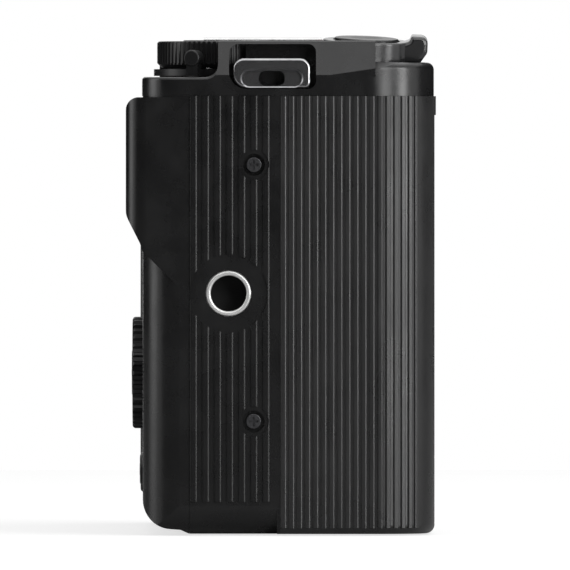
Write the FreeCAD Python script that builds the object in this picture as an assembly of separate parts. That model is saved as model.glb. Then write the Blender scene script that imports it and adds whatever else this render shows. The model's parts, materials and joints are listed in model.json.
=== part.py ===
import FreeCAD, Part
import math
import os

from FreeCAD import Vector

# A compact mirrorless camera without a lens, in millimetres.
# +Z is up, the lens side faces -Y and the grip is at -X.
# The origin is the mouth of the tripod socket in the base.

# Case plan
side_x = -72.05
left_x = 47.0
rear_y = 12.8
front_y = -16.5
grip_front_y = -30.5
split_y = 5.9
grip_foot_x = -33.0
grip_nose_x = -41.0
rear_right_round = 5.5
rear_left_round = 6.5
front_left_round = 9.0
grip_corner_round = 8.8
grip_nose_round = 6.0
grip_foot_round = 7.0

# Case heights and walls
case_top_z = 64.9
cover_h = 8.2
top_z = case_top_z + cover_h
case_wall = 3.0
rear_wall = 1.6
seam = 0.1
top_seam = 0.02
base_round = 1.3
rear_heel_z = 1.0
rear_heel_round = 4.4
rear_step_w = 1.3
rear_step_z = 0.6
side_base_round = 4.2
sill_w = 2.0
base_plate_t = 1.4

# Ribs on the side plate and on the grip cover
rib_height = 0.25
# Crest of a rib: share of its rounding's width, share of its height
rib_crest = ((0, 0), (0.06, 0.45), (0.3, 0.76), (0.62, 0.93), (1, 1))
side_rib_rounding = 0.26
side_rib_pitch = 1.79
side_rib_width = 1.1
side_rib_count = 7
side_rib_base_z = 4.8
side_plate_t = 1.4
side_plate_front_y = -7.1
grip_seam_y = -7.6
grip_cover_t = 1.3
grip_rib_pitch = 1.19
grip_rib_width = 0.8
grip_rib_rounding = 0.2
grip_rib_base_z = 0.9
grip_rib_first_y = -8.1
grip_rib_last_angle = 50.0
grip_lip = 0.2
grip_lip_h = 2.8
grip_lip_t = 1.0

# Thumb rest
thumb_y = 15.3
thumb_inner_x = -46.0
thumb_slope_x = 4.0
thumb_top_z = 64.7
thumb_low_z = 47.25
thumb_bend_y = 13.2
thumb_bend_z = 43.1
thumb_foot_z = 41.9
thumb_under_slope = 1.0
thumb_sink = 0.5
thumb_round = 1.9
thumb_low_round = 3.0
thumb_foot_round = 2.0
thumb_side_round = 3.0
thumb_inner_round = 2.0

# Top cover
cover_rear_y = 12.9
cover_corner_round = grip_corner_round + 1.0
block_rear_y = 10.4
deck_z = case_top_z + 2.8
front_deck_z = case_top_z + 5.0
front_step_x = grip_nose_x + 12.0
front_deck_round = 1.1
deck_round = 0.45
block_round = 0.5
block_lean = 0.28
cover_skin = 1.6
cover_hollows = ((-33.0, -13.0, -12.4), (13.0, 42.9, -12.0))
cover_hollow_rear_y = 10.0
skirt_t = 1.0
skirt_h = 0.4
chamfer_side_z = case_top_z + 4.0
lean_foot_z = deck_z + 0.3
lean_rise_y = -15.0
climb_w = 2.0
chamfer_rise = 0.1
chamfer_slope = 0.4
chamfer_run = 12.0

# Half widths of a knurl's tooth, as shares of the pitch
tooth_foot = 0.3
tooth_top = 0.12
knurl_skin = 0.01

# Mode dial and power lever
dial_x = -58.5
dial_y = 1.8
dial_r = 8.9
dial_z = deck_z + 1.4
dial_top_z = top_z - 0.05
dial_rib_count = 72
dial_rib_depth = 0.22
dial_rim_round = 0.45
dial_foot_chamfer = 0.7
dial_rim_w = 1.1
dial_dish = 0.25
dial_cap_t = 1.0
dial_pocket_r = 10.3
dial_bore_r = 2.05
dial_wall_y = 1.6
pocket_round = 2.0
lever_ring_r = 9.4
lever_ring_z = deck_z + 0.2
lever_ring_h = 1.0
lever_angle = 17.7
lever_reach = 12.2
lever_head_r = 1.2
lever_head_l = 2.6
lever_head_out = 0.3
lever_head_round = 0.25
lever_head_z = deck_z + 2.8
lever_neck_w = 1.7
lever_neck_t = 1.9
lever_bore_r = 5.6

# Shutter button and zoom lever
tower_x = -61.5
tower_y = -20.4
tower_top_z = top_z + 0.1
tower_r = 6.5
tower_ring_h = 2.9
tower_gap = 0.25
tower_rim_round = 0.25
tower_lean_out = 4.2
tower_lean_front = 2.3
zoom_bore_r = 5.0
zoom_tab_reach = 9.1
zoom_tab_w = 6.0
zoom_tab_rise = 1.0
zoom_tab_round = 0.6
zoom_tab_gap = 0.4
zoom_room = 55.0
shutter_r = 4.8
shutter_rise = 0.35
shutter_edge_round = 0.3
shutter_dish = 0.25
shutter_dish_r = 3 * shutter_r
shutter_depth = 1.1
shutter_travel = 0.8

# Small buttons: place on their face, radius, how far they stand out
record_spot = (-44.5, -14.5)
record_r = 3.6
stream_spot = (-40.0, -3.5)
function_spot = (-40.0, 4.5)
small_top_r = 2.4
menu_spot = (-38.2, 52.0)
playback_spot = (-62.0, 9.5)
delete_spot = (-42.5, 9.5)
small_rear_r = 2.3
button_rise = 0.45
top_button_rise = 0.2
button_gap = 0.12
button_travel = 0.6
key_round = 0.36
top_key_round = 0.15
flange_t = 0.6
flange_lip = 0.6
flange_gap = 0.3

# Rear control ring
ring_x = -52.5
ring_z = 23.75
ring_r = 8.3
ring_out_y = 14.4
ring_in_y = 11.9
ring_bore_r = 5.6
ring_ridge_count = 36
ring_ridge_depth = 0.35
ring_hole_r = 8.95
ring_rim_round = 0.5
rocker_t = 0.8
rocker_back_y = 10.5
rocker_inset = 0.2
rocker_sink = 0.3
gimbal_t = 0.8
gimbal_gap = 0.5
gimbal_w = 2.0
set_r = 3.5
set_rise = 0.1

# Lens mount
lens_z = 34.0
flange_y = -18.5
mount_r = 31.0
throat_r = 27.0
throat_gap = 0.6
mount_ring_t = 2.6
mount_lip_t = 1.1
mount_groove_r = 27.7
mount_edge_round = 0.2
claw_r = 25.6
claw_sweep = 50.0
mount_rim_w = 1.3
mount_rim_y = -18.0
mount_screw_r = 29.1
mount_head_r = 1.3
mount_head_h = 0.9
mount_head_sink = 0.08
lock_pin_r = 1.2
lock_pin_circle_r = 28.9
lock_pin_out = 1.1
lock_pin_round = 0.35
contact_outer_r = throat_r - 1.8
contact_inner_r = throat_r - 5.2
contact_y = flange_y + 3.6
contact_middle = 270.0
contact_sweep = 62.0
contact_pin_count = 12
contact_pin_sweep = 50.0
contact_pin_r = 0.46
contact_pin_out = 0.5
contact_pin_in = 1.15
contact_pin_round = 0.2
baffle_lap = 1.0
baffle_t = 1.4
baffle_round = 2.0
release_spot = (34.0, 14.0)
release_r = 4.2
release_rise = 1.8
front_record_spot = (34.0, 56.0)
front_record_r = 3.2
front_record_rise = 0.8

# Shutter and sensor
window_w = 38.0
window_h = 26.0
shutter_front_y = -9.4
shutter_back_y = -5.4
shutter_frame_w = 54.0
shutter_low_margin = 3.4
shutter_top_margin = 4.0
shutter_wall = 0.8
shutter_low_wall = 2.0
shutter_top_wall = 1.6
window_round = 1.0
blade_t = 0.25
blade_h = 9.6
blade_step = 0.8
blade_w = 42.0
blade_side_gap = 0.5
blade_first = 1.1
blade_park = 0.8
sensor_y = 1.5
sensor_w = 36.0
sensor_h = 24.0
sensor_t = 0.6
glass_t = 1.0
sensor_frame_w = 52.0
sensor_frame_h = 44.0
sensor_frame_y = 0.9
sensor_frame_t = 2.5
sensor_frame_round = 2.0
sensor_nest = 1.0
sensor_gap = 0.05
sensor_border = 0.8
glass_border = 2.0
glass_round = 0.8
leg_r = 1.5
leg_inset = 2.2
leg_heights = (-8.0, 12.0)

# Inner parts
chassis_y = -13.2
chassis_t = 2.0
chassis_right_x = -37.5
chassis_left_x = 39.0
chassis_gap = 0.3
chassis_lip = 0.5
chassis_way = 0.4
shelf_half_w = 30.0
shelf_t = 1.6
shelf_gap = 0.4
board_y = 3.8
board_t = 1.1
board_lift = 0.5
board_left_x = chassis_left_x + 3.0
board_top_z = 62.0
chip_t = 0.8
# Chips on the board: their sides along X, then along Z
chips = ((-12.0, 4.0, 30.0, 46.0), (10.0, 20.0, 34.0, 44.0), (-28.0, -18.0, 18.0, 30.0))
battery_w = 20.0
battery_depth = 33.3
battery_h = 47.6
battery_right_x = -64.7
battery_front_y = -26.2
battery_z = 2.9
battery_round = 0.8
box_wall = 0.8
box_lift = 1.1
card_w = 2.1
card_depth = 24.0
card_h = 32.0
card_front_y = -20.8
card_end_gap = 0.2
card_corner = 4.0

# Battery door
door_hinge_x = -37.6
door_t = 1.4
door_gap = 0.2
door_notch_w = 1.4
door_z = 0.1
door_pin_r = 0.35
door_knuckle_r = 0.75
knuckle_clear = 0.3
door_rear_y = 4.4
door_front_y = -15.0
ear_t = 1.1
ear_gap = 0.2
ear_reach = 0.8
ear_top_z = 1.8
latch_w = 7.6
latch_l = 5.0
latch_travel = 2.2
latch_x = -62.9
latch_y = -8.0
latch_flange = 0.9
latch_flange_t = 0.5
latch_gap = 0.1
latch_round = 0.4
groove_pitch = 1.2
groove_half_w = 0.25
groove_inset = 0.8
groove_depth = 0.3

# Monitor
monitor_right_x = -33.0
monitor_left_x = 41.8
monitor_back_y = 8.5
monitor_out_y = 13.35
monitor_low_z = 5.6
monitor_top_z = 62.2
monitor_gap = 0.4
recess_y = 8.2
monitor_round = 1.2
monitor_rim_round = 0.6
screen_margin = 2.2
screen_t = 0.9
screen_round = 0.8
screen_gap = 0.05
hinge_x = 44.4
hinge_y = 10.9
barrel_r = 2.1
barrel_low_z = 14.3
barrel_top_z = 52.7
knuckle_h = 4.0
knuckle_gap = 0.3
knuckle_half_w = 1.5
tongue_half_t = 1.2
hinge_pin_r = 0.9
hinge_pin_low_z = barrel_low_z - 2.8
hinge_pin_top_z = barrel_top_z + 2.8

# Running clearance of pins and shafts, and slack around covers
running = 0.06
press = 0.02
slack = 0.15

# How far a cutter reaches past what it cuts, and how far a zone reaches beyond the case
past = 1.0
beyond = 5.0

# Ports on the left side
port_rear_y = 4.6
port_front_y = -5.6
audio_low_z = 38.5
audio_top_z = 58.5
data_low_z = 10.5
data_top_z = 33.0
port_cover_t = 1.2
port_round = 0.9
port_rim_round = 0.2
port_notch_r = 1.4
port_notch_t = 0.5
port_panel_t = 1.3
jack_r = 1.75
jack_outer_r = 3.0
jack_inset = 5.0
jack_depth = 8.0
panel_margin = 0.5
panel_gap = 0.3
panel_end = 2.0
socket_out = 1.2
socket_wall = 1.0
socket_depth = 6.0
socket_skin = 0.5
socket_outer_round = 0.9
socket_inner_round = 0.5
# Data sockets: height of the middle, half width along Y, half height
data_sockets = ((data_low_z + 5.5, 1.3, 4.5), (data_top_z - 6.0, 1.6, 3.3))

# Accessory shoe
shoe_front_y = -13.9
shoe_rear_y = 4.0
shoe_inner_w = 18.8
shoe_mouth_w = 12.6
shoe_sheet = 0.9
shoe_top_z = top_z + 0.75
shoe_floor_z = shoe_top_z - 3.55
shoe_clear = 0.3
shoe_outer_round = 0.4
shoe_lip_round = 0.3
shoe_inner_round = 0.2
shoe_floor_t = 0.6
shoe_stop_lap = 0.2
shoe_stop_sink = 0.4
shoe_contact_r = 0.92
shoe_contact_gap = 0.08
shoe_contact_spots = ((0.0, -4.0), (-3.2, -8.2), (0.0, -9.2), (3.2, -8.2), (5.8, -5.5))

# Microphone grille
mic_x = 30.0
mic_y = -3.0
mic_w = 18.0
mic_depth = 12.0
mic_t = 0.8
mic_round = 2.0
mic_ledge = 1.5
mic_well_h = 4.0
mic_sink = 0.05
mic_slot_end = 1.6
mic_slot_round = 0.3
mic_slot_pitch = 1.6
mic_slot_w = 0.7

# Strap lugs
lug_y = -6.35
lug_w = 11.5
lug_top_z = case_top_z + 5.6
lug_low_z = case_top_z + 1.1
lug_t = 1.9
lug_slot_w = 8.9
lug_slot_h = 2.4
lug_slot_z = lug_low_z + 1.5
lug_hole_w = 3.9
lug_step = 0.8
lug_edge_round = 0.4
lug_slot_chamfer = 0.2
lug_round = 1.6
lug_low_round = 0.8
lug_end_flat = 0.01
lug_foot_front = 1.0
lug_foot_rear = 2.0
lug_foot_inner = 0.5
lug_foot_gap = 0.05
lug_foot_h = 0.9
lug_recess_front_y = -12.9
lug_recess_rear_y = 0.0
lug_recess_low_z = lug_low_z - 0.05
lug_recess_top_z = top_z - 0.5
lug_recess_depth = 4.2
lug_recess_round = 2.6
lug_recess_top_round = 1.5
lug_recess_front_round = 1.2
lug_inset = 0.35

# Tripod sockets, quarter inch thread
tripod_r = 2.6
tripod_depth = 5.2
tripod_rim_round = 0.36
tripod_neck_r = 3.4
tripod_neck_h = 0.8
tripod_body_r = 4.3
tripod_end_t = 1.0
side_socket_y = 0.05
side_socket_z = 35.65
side_socket_clear_r = 5.8

# Case screws and small trims
screw_head_r = 1.13
screw_recess_r = 1.63
screw_shank_r = 0.7
screw_clear_r = 2.25
screw_sink = 0.35
side_head_h = 0.7
base_head_h = 0.55
base_shank_h = 1.2
head_gap = 0.05
head_round = 0.12
# Cross recess of a screw: reach, half width and depth as shares of the head
cross_reach = 0.62
cross_half_w = 0.14
cross_depth = 0.6
side_screw_upper = (-3.7, 54.7)
side_screw_lower = (-3.65, 16.7)
base_screw_spots = ((-30.0, -11.0), (-14.0, 2.5), (14.0, 2.5), (30.0, -11.0), (40.0, 1.0))
pad_h = 0.25
pad_gap = 0.01
pad_round = 0.7
pad_rear_y = 5.8
pad_front_y = 3.9
pad_spots = ((-34.0, -26.0), (28.0, 36.0))
lamp_spot = (-27.0, case_top_z + 4.3)
lamp_r = 1.6
lamp_rise = 0.15
lamp_depth = 2.0
lamp_rim_round = 0.12
cord_right_x = -63.8
cord_left_x = -56.0
cord_low_z = 1.6
cord_top_z = 11.2

# Two edges or points nearer than this are the same
tiny = 1e-4

# Where each flat outline lies: the two drawn directions and the direction that it is drawn out along
PLAN = (Vector(1, 0, 0), Vector(0, 1, 0), Vector(0, 0, 1))
SIDE = (Vector(0, 1, 0), Vector(0, 0, 1), Vector(1, 0, 0))
FRONT = (Vector(1, 0, 0), Vector(0, 0, 1), Vector(0, 1, 0))


def box(x0, x1, y0, y1, z0, z1):
    return Part.makeBox(x1 - x0, y1 - y0, z1 - z0, Vector(x0, y0, z0))


def upright(x, y, r, z0, z1):
    return Part.makeCylinder(r, z1 - z0, Vector(x, y, z0), Vector(0, 0, 1))


def along_y(x, z, r, y0, y1):
    return Part.makeCylinder(r, y1 - y0, Vector(x, y0, z), Vector(0, 1, 0))


def along_x(y, z, r, x0, x1):
    return Part.makeCylinder(r, x1 - x0, Vector(x0, y, z), Vector(1, 0, 0))


def outline(corners, plane, level=0.0):
    """A flat face from corners (u, v, radius), each rounded by an arc."""
    first, second, out = plane
    base = out * level
    rounds = []
    count = len(corners)
    for i, (u, v, r) in enumerate(corners):
        here = Vector(u, v, 0)
        back = Vector(corners[i - 1][0], corners[i - 1][1], 0) - here
        ahead = Vector(corners[(i + 1) % count][0], corners[(i + 1) % count][1], 0) - here
        back.normalize()
        ahead.normalize()
        half = back.getAngle(ahead) / 2
        reach = r / math.tan(half)
        inward = back + ahead
        if r > 0:
            inward.normalize()
        middle = here + inward * (r / math.sin(half) - r)
        rounds.append((here + back * reach, middle, here + ahead * reach, r))

    def lift(spot):
        return base + first * spot.x + second * spot.y

    edges = []
    for i, (start, middle, end, r) in enumerate(rounds):
        if r > 0:
            edges.append(Part.Arc(lift(start), lift(middle), lift(end)).toShape())
        following = rounds[(i + 1) % count][0]
        if (following - end).Length > tiny:
            edges.append(Part.LineSegment(lift(end), lift(following)).toShape())
    return Part.Face(Part.Wire(edges))


def prism(corners, plane, low, high):
    return outline(corners, plane, low).extrude(plane[2] * (high - low))


def rounded_box(x0, x1, y0, y1, z0, z1, r, plane=PLAN):
    """A block whose corners are rounded as seen along the plane's third direction."""
    if plane is PLAN:
        return prism([(x0, y0, r), (x1, y0, r), (x1, y1, r), (x0, y1, r)], PLAN, z0, z1)
    if plane is SIDE:
        return prism([(y0, z0, r), (y1, z0, r), (y1, z1, r), (y0, z1, r)], SIDE, x0, x1)
    return prism([(x0, z0, r), (x1, z0, r), (x1, z1, r), (x0, z1, r)], FRONT, y0, y1)


def fillet_where(shape, radius, test):
    """Round the edges whose box passes the test."""
    edges = [edge for edge in shape.Edges if test(edge.BoundBox, edge)]
    return shape.makeFillet(radius, edges)


def flat_at(z):
    """Test for edges that lie at the height z."""
    return lambda b, edge: abs(b.ZMin - z) < tiny and abs(b.ZMax - z) < tiny


def level_y(y):
    """Test for edges that lie in the upright plane at y."""
    return lambda b, edge: abs(b.YMin - y) < tiny and abs(b.YMax - y) < tiny


def level_x(x):
    """Test for edges that lie in the upright plane at x."""
    return lambda b, edge: abs(b.XMin - x) < tiny and abs(b.XMax - x) < tiny


def turned(shape, centre, axis, degrees):
    copy = shape.copy()
    copy.rotate(centre, axis, degrees)
    return copy


def joined(first, others):
    return first.multiFuse(others).removeSplitter()


# Case


def case_face(rear, clear=0.0):
    """Plan of the case from its front to the given rear line, drawn in by clear."""
    face = outline([
        (side_x, rear + clear, 0),
        (side_x, grip_front_y, grip_corner_round),
        (grip_nose_x, grip_front_y, grip_nose_round),
        (grip_foot_x, front_y, grip_foot_round),
        (left_x, front_y, front_left_round),
        (left_x, rear + clear, 0),
    ], PLAN)
    if clear:
        return face.makeOffset2D(-clear)
    return face


def case_prism(rear, clear, z0, z1):
    body = case_face(rear, clear).extrude(Vector(0, 0, z1 - z0))
    body.translate(Vector(0, 0, z0))
    return body


def front_envelope():
    """Outer form of the case in front of the rear shell, with its base edge rounded."""
    body = case_prism(split_y, 0, 0, case_top_z)

    def base_edge(b, edge):
        return flat_at(0)(b, edge) and b.YMin < split_y - seam

    return fillet_where(body, base_round, base_edge)


def grip_zone():
    return box(side_x - beyond, grip_nose_x + beyond, grip_front_y - beyond, grip_seam_y,
               -beyond, case_top_z + beyond)


def side_block(inset, y0, y1):
    """The case's side between two places along Y, its base edge rounded, drawn in by an inset."""
    x = side_x + inset
    far = side_x + 2 * side_base_round
    return prism([
        (x, inset, side_base_round - inset),
        (far, inset, 0),
        (far, case_top_z + past, 0),
        (x, case_top_z + past, 0),
    ], FRONT, y0, y1)


def side_zone():
    """What the side plate and its rounded base edge leave no room for."""
    y0 = side_plate_front_y
    y1 = split_y + past
    block = box(side_x - past, side_x + 2 * side_base_round - tiny, y0, y1, -past, case_top_z)
    return block.cut(side_block(side_plate_t, y0 - past, y1 + past))


def cord_zone(clear):
    return box(cord_right_x - clear, cord_left_x + clear, grip_front_y - beyond,
               grip_front_y + grip_cover_t + clear, cord_low_z - clear, cord_top_z + clear)


def front_way(spot, r, y0, y1):
    """Round way through the front for a part whose place is given as (x, z)."""
    return along_y(spot[0], spot[1], r, y0, y1)


def front_shell(envelope):
    shell = envelope.cut(case_prism(split_y + case_wall, case_wall, -past, case_top_z + past))
    skin = envelope.cut(case_prism(split_y + grip_cover_t, grip_cover_t + seam, -past, case_top_z + past))
    shell = shell.cut(skin.common(grip_zone()))
    boss = along_y(0, lens_z, mount_r + seam + mount_rim_w, mount_rim_y, front_y + case_wall)
    sill = box(side_x + case_wall - seam, side_x + case_wall + sill_w,
               grip_front_y + grip_corner_round, split_y - seam, 0, base_plate_t)
    shell = joined(shell, [boss, sill]).cut(side_zone())
    ring_back = flange_y + mount_ring_t
    cuts = [
        along_y(0, lens_z, mount_r + seam, flange_y - past, ring_back + seam),
        along_y(0, lens_z, throat_r + throat_gap, flange_y - past, 0),
        along_y(lock_pin_x(), lock_pin_z(), lock_pin_r + running, flange_y - past, 0),
        front_way(release_spot, release_r + button_gap, flange_y - past, 0),
        front_way(front_record_spot, front_record_r + button_gap, flange_y - past, 0),
        on_side(socket_way(running)),
    ]
    for y, z in (side_screw_upper, side_screw_lower):
        cuts.append(along_x(y, z, screw_shank_r + running, side_x - past, side_x + beyond))
    for x, z in mount_screw_spots():
        cuts.append(along_y(x, z, screw_shank_r + running, flange_y - past, front_y + case_wall + past))
    for low, top in ((audio_low_z, audio_top_z), (data_low_z, data_top_z)):
        cuts.append(rounded_box(left_x - case_wall - past, left_x + past, port_front_y - slack,
                                port_rear_y + slack, low - slack, top + slack, port_round + seam, SIDE))
    return shell.cut(cuts)


def rib_profile(y, half, rounding):
    """Section of an upright rib on the side, its crest rounded over a width at both edges."""
    front = []
    rear = []
    for inward, up in rib_crest:
        reach = half - inward * rounding
        front.append((side_x - up * rib_height, y - reach, 0))
        rear.append((side_x - up * rib_height, y + reach, 0))
    root = side_x + rib_height
    return [(root, y + half, 0)] + rear + front[::-1] + [(root, y - half, 0)]


def side_plate():
    y0 = side_plate_front_y
    y1 = split_y - seam / 2
    plate = side_block(0, y0, y1).cut(side_block(side_plate_t - seam, y0 - past, y1 + past))
    plate = plate.common(box(side_x, side_x + side_base_round, y0, y1, 0, case_top_z - top_seam))
    ribs = []
    for i in range(side_rib_count):
        middle = split_y - seam - side_rib_width / 2 - i * side_rib_pitch
        profile = rib_profile(middle, side_rib_width / 2, side_rib_rounding)
        ribs.append(prism(profile, PLAN, side_rib_base_z, case_top_z - top_seam))
    clear = [along_x(side_socket_y, side_socket_z, side_socket_clear_r, side_x - past, side_x)]
    for y, z in (side_screw_upper, side_screw_lower):
        clear.append(along_x(y, z, screw_clear_r, side_x - past, side_x))
    plate = joined(plate, [rib.cut(clear) for rib in ribs])
    holes = [on_side(socket_way(running))]
    seat_x = side_x + screw_sink + side_head_h + head_gap
    for y, z in (side_screw_upper, side_screw_lower):
        holes.append(along_x(y, z, screw_recess_r, side_x - past, seat_x))
        holes.append(along_x(y, z, screw_shank_r + running, side_x - past, side_x + beyond))
    return plate.cut(holes)


def grip_rib(y, angle):
    """One rib of the grip, turned round the grip's corner by the angle."""
    half = grip_rib_width / 2
    rib = prism(rib_profile(y, half, grip_rib_rounding), PLAN, grip_rib_base_z, case_top_z - top_seam)
    corner = Vector(side_x + grip_corner_round, grip_front_y + grip_corner_round, 0)
    return turned(rib, corner, Vector(0, 0, 1), angle)


def grip_cover(envelope):
    skin = envelope.cut(case_prism(split_y + grip_cover_t, grip_cover_t, -past, case_top_z + past))
    cover = skin.common(grip_zone())
    cover = cover.common(box(side_x - beyond, left_x, grip_front_y - beyond, grip_seam_y,
                             -past, case_top_z - top_seam))
    lip = case_prism(split_y, -grip_lip, case_top_z - grip_lip_h, case_top_z - top_seam)
    lip = lip.cut(case_prism(split_y + past, grip_lip_t, 0, case_top_z))
    lip = lip.common(box(side_x + grip_corner_round, grip_nose_x, grip_front_y - beyond, 0,
                         0, case_top_z))
    ribs = []
    corner_y = grip_front_y + grip_corner_round
    y = grip_rib_first_y
    while y > corner_y:
        ribs.append(grip_rib(y, 0))
        y -= grip_rib_pitch
    step = math.degrees(grip_rib_pitch / grip_corner_round)
    angle = math.degrees((corner_y - y) / grip_corner_round)
    while angle < grip_rib_last_angle:
        ribs.append(grip_rib(corner_y, angle))
        angle += step
    cover = joined(cover, ribs + [lip])
    return cover.cut(cord_zone(slack))


def cord_hole_cover(envelope):
    """Small rubber flap over the cable way in the grip's lower front."""
    flap = envelope.common(cord_zone(0))
    return flap.cut(case_prism(split_y + grip_cover_t, grip_cover_t, -past, case_top_z + past))


def rear_prism(rear, clear, z0, z1, front):
    corners = [
        (side_x + clear, front, 0),
        (left_x - clear, front, 0),
        (left_x - clear, rear - clear, rear_left_round - clear),
        (side_x + clear, rear - clear, rear_right_round - clear),
    ]
    return prism(corners, PLAN, z0, z1)


def thumb_rest():
    """Upright pad on the rear, its underside sloping back into the case along an S."""
    low_z = thumb_foot_z - (rear_y - split_y) * thumb_under_slope
    pad = prism([
        (side_x, split_y, 0),
        (thumb_inner_x + thumb_slope_x, split_y, 0),
        (thumb_inner_x + thumb_slope_x, rear_y - thumb_sink, 0),
        (thumb_inner_x, thumb_y, thumb_inner_round),
        (side_x, thumb_y, thumb_side_round),
    ], PLAN, low_z, thumb_top_z)
    profile = prism([
        (split_y, low_z, 0),
        (rear_y, thumb_foot_z, 0),
        (thumb_bend_y, thumb_bend_z, thumb_foot_round),
        (thumb_y, thumb_low_z, thumb_low_round),
        (thumb_y, thumb_top_z, thumb_round),
        (split_y, thumb_top_z, 0),
    ], SIDE, side_x - past, left_x)
    return pad.common(profile)


def rear_heel(inset):
    """The rear of the case as seen from its side, its base sloping up to a round heel."""
    across = prism([
        (split_y - past, inset, 0),
        (split_y, inset, 0),
        (split_y + rear_step_w, rear_step_z + inset, 0),
        (rear_y - inset, rear_heel_z + inset, rear_heel_round - inset),
        (rear_y - inset, case_top_z + past, 0),
        (split_y - past, case_top_z + past, 0),
    ], SIDE, side_x, left_x)
    along = prism([
        (side_x + inset, inset, side_base_round - inset),
        (left_x - inset, inset, side_base_round - inset),
        (left_x - inset, case_top_z + past, 0),
        (side_x + inset, case_top_z + past, 0),
    ], FRONT, split_y - past, rear_y)
    return across.common(along)


def rear_shell():
    body = rear_prism(rear_y, 0, 0, case_top_z, split_y).common(rear_heel(0))
    body = body.fuse(thumb_rest())
    hollow = rear_prism(rear_y, rear_wall, 0, case_top_z + past, split_y - past)
    hollow = hollow.common(rear_heel(rear_wall))
    behind_monitor = box(monitor_right_x - monitor_gap - rear_wall, left_x, recess_y - rear_wall,
                         rear_y + past, 0, monitor_top_z + monitor_gap + rear_wall)
    body = body.cut(hollow.cut(behind_monitor))
    recess = box(monitor_right_x - monitor_gap, left_x + past, recess_y, thumb_y + past,
                 monitor_low_z - monitor_gap, monitor_top_z + monitor_gap)
    body = body.cut(recess)
    knuckles = []
    for low in (barrel_low_z - knuckle_gap - knuckle_h, barrel_top_z + knuckle_gap):
        web = box(hinge_x - knuckle_half_w, hinge_x + knuckle_half_w, recess_y - 2 * seam, hinge_y,
                  low, low + knuckle_h)
        knuckles.append(web.fuse(upright(hinge_x, hinge_y, barrel_r, low, low + knuckle_h)))
    body = joined(body, knuckles)
    cuts = [
        upright(hinge_x, hinge_y, hinge_pin_r + press, hinge_pin_low_z - press, hinge_pin_top_z + press),
        along_y(ring_x, ring_z, ring_hole_r, split_y, thumb_y + past),
    ]
    for x, z in (menu_spot, playback_spot, delete_spot):
        cuts.append(along_y(x, z, small_rear_r + button_gap, split_y, thumb_y + past))
    return body.cut(cuts)


def base_plate():
    plate = case_prism(split_y - seam, case_wall + seam, 0, base_plate_t)
    door_side = door_hinge_x + door_knuckle_r + knuckle_clear
    plate = plate.cut(box(side_x, door_side, grip_front_y, split_y + past, -past, base_plate_t + past))
    ears = []
    for low_y in (door_rear_y + ear_gap, door_front_y - ear_gap - ear_t):
        ears.append(box(door_hinge_x - ear_reach, door_side + slack, low_y, low_y + ear_t, 0, ear_top_z))
    plate = joined(plate, ears)
    cuts = [
        socket_way(running),
        along_y(door_hinge_x, door_pin_z(), door_pin_r + press, door_front_y - beyond,
                door_rear_y + beyond),
    ]
    for x, y in base_screw_spots:
        cuts.append(upright(x, y, screw_recess_r, -past, screw_sink + base_head_h + head_gap))
        cuts.append(upright(x, y, screw_shank_r + running, -past, beyond))
    return plate.cut(cuts)


def base_pads():
    pads = []
    for x0, x1 in pad_spots:
        pads.append(rounded_box(x0, x1, pad_front_y, pad_rear_y, -pad_h, -pad_gap, pad_round))
    return Part.makeCompound(pads)


# Top cover


def cover_outline(clear=0.0):
    face = outline([
        (side_x, cover_rear_y, rear_right_round),
        (side_x, grip_front_y + seam, cover_corner_round),
        (grip_nose_x, grip_front_y + seam, grip_nose_round),
        (grip_foot_x, front_y, grip_foot_round),
        (left_x, front_y, front_left_round),
        (left_x, cover_rear_y, rear_left_round),
    ], PLAN)
    if clear:
        return face.makeOffset2D(-clear)
    return face


def cover_prism(clear, z0, z1):
    body = cover_outline(clear).extrude(Vector(0, 0, z1 - z0))
    body.translate(Vector(0, 0, z0))
    return body


def dial_pocket():
    """Open corner of the cover that the mode dial stands in."""
    wall = prism([
        (dial_wall_y, top_z + past, 0),
        (dial_wall_y, deck_z, pocket_round),
        (cover_rear_y + past, deck_z, 0),
        (cover_rear_y + past, top_z + past, 0),
    ], SIDE, side_x - past, dial_x)
    inner = box(dial_x, dial_x + dial_pocket_r, dial_y, cover_rear_y + past, deck_z, top_z + past)
    return joined(wall, [inner, upright(dial_x, dial_y, dial_pocket_r, deck_z, top_z + past)])


def front_step():
    """The whole front end of the cover, taken away before the lower deck is set there."""
    return box(side_x - past, front_step_x, grip_front_y - past, front_step_y(), 0, top_z + past)


def front_step_y():
    return grip_front_y + grip_corner_round


def front_deck():
    """The lower deck round the shutter tower, with a rounded upper edge."""
    deck = cover_prism(0, case_top_z + top_seam, front_deck_z)
    deck = fillet_where(deck, front_deck_round, flat_at(front_deck_z))
    return deck.common(front_step())


def sloping_facet(y, side_z, run, climb):
    """Room above a facet that rises inwards from the side and climbs towards the front."""
    slab = outline([
        (side_x - past, side_z - past * chamfer_slope, 0),
        (side_x + chamfer_run, side_z + chamfer_run * chamfer_slope, 0),
        (side_x + chamfer_run, top_z + chamfer_run, 0),
        (side_x - past, top_z + chamfer_run, 0),
    ], FRONT, y)
    return slab.extrude(Vector(0, -run, climb))


def front_chamfer():
    """What the sloping facet takes off the deck's outer corner."""
    return sloping_facet(front_step_y(), chamfer_side_z, chamfer_run, chamfer_run * chamfer_rise)


def side_climb():
    """Low wedge along the block's foot, so that its crease climbs to the front step."""
    run = lean_rise_y - front_step_y()
    wedge = box(side_x, side_x + climb_w, front_step_y(), lean_rise_y, deck_z, top_z)
    return wedge.cut(sloping_facet(lean_rise_y, lean_foot_z, run, chamfer_side_z - lean_foot_z))


def block_side():
    """What the upper block's leaning side leaves out."""
    height = top_z + past - lean_foot_z
    slab = outline([
        (side_x - past, lean_foot_z, 0),
        (side_x, lean_foot_z, 0),
        (side_x + block_lean * height, top_z + past, 0),
        (side_x - past, top_z + past, 0),
    ], FRONT, grip_front_y - past)
    return slab.extrude(Vector(0, cover_rear_y - grip_front_y + 2 * past, 0))


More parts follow.
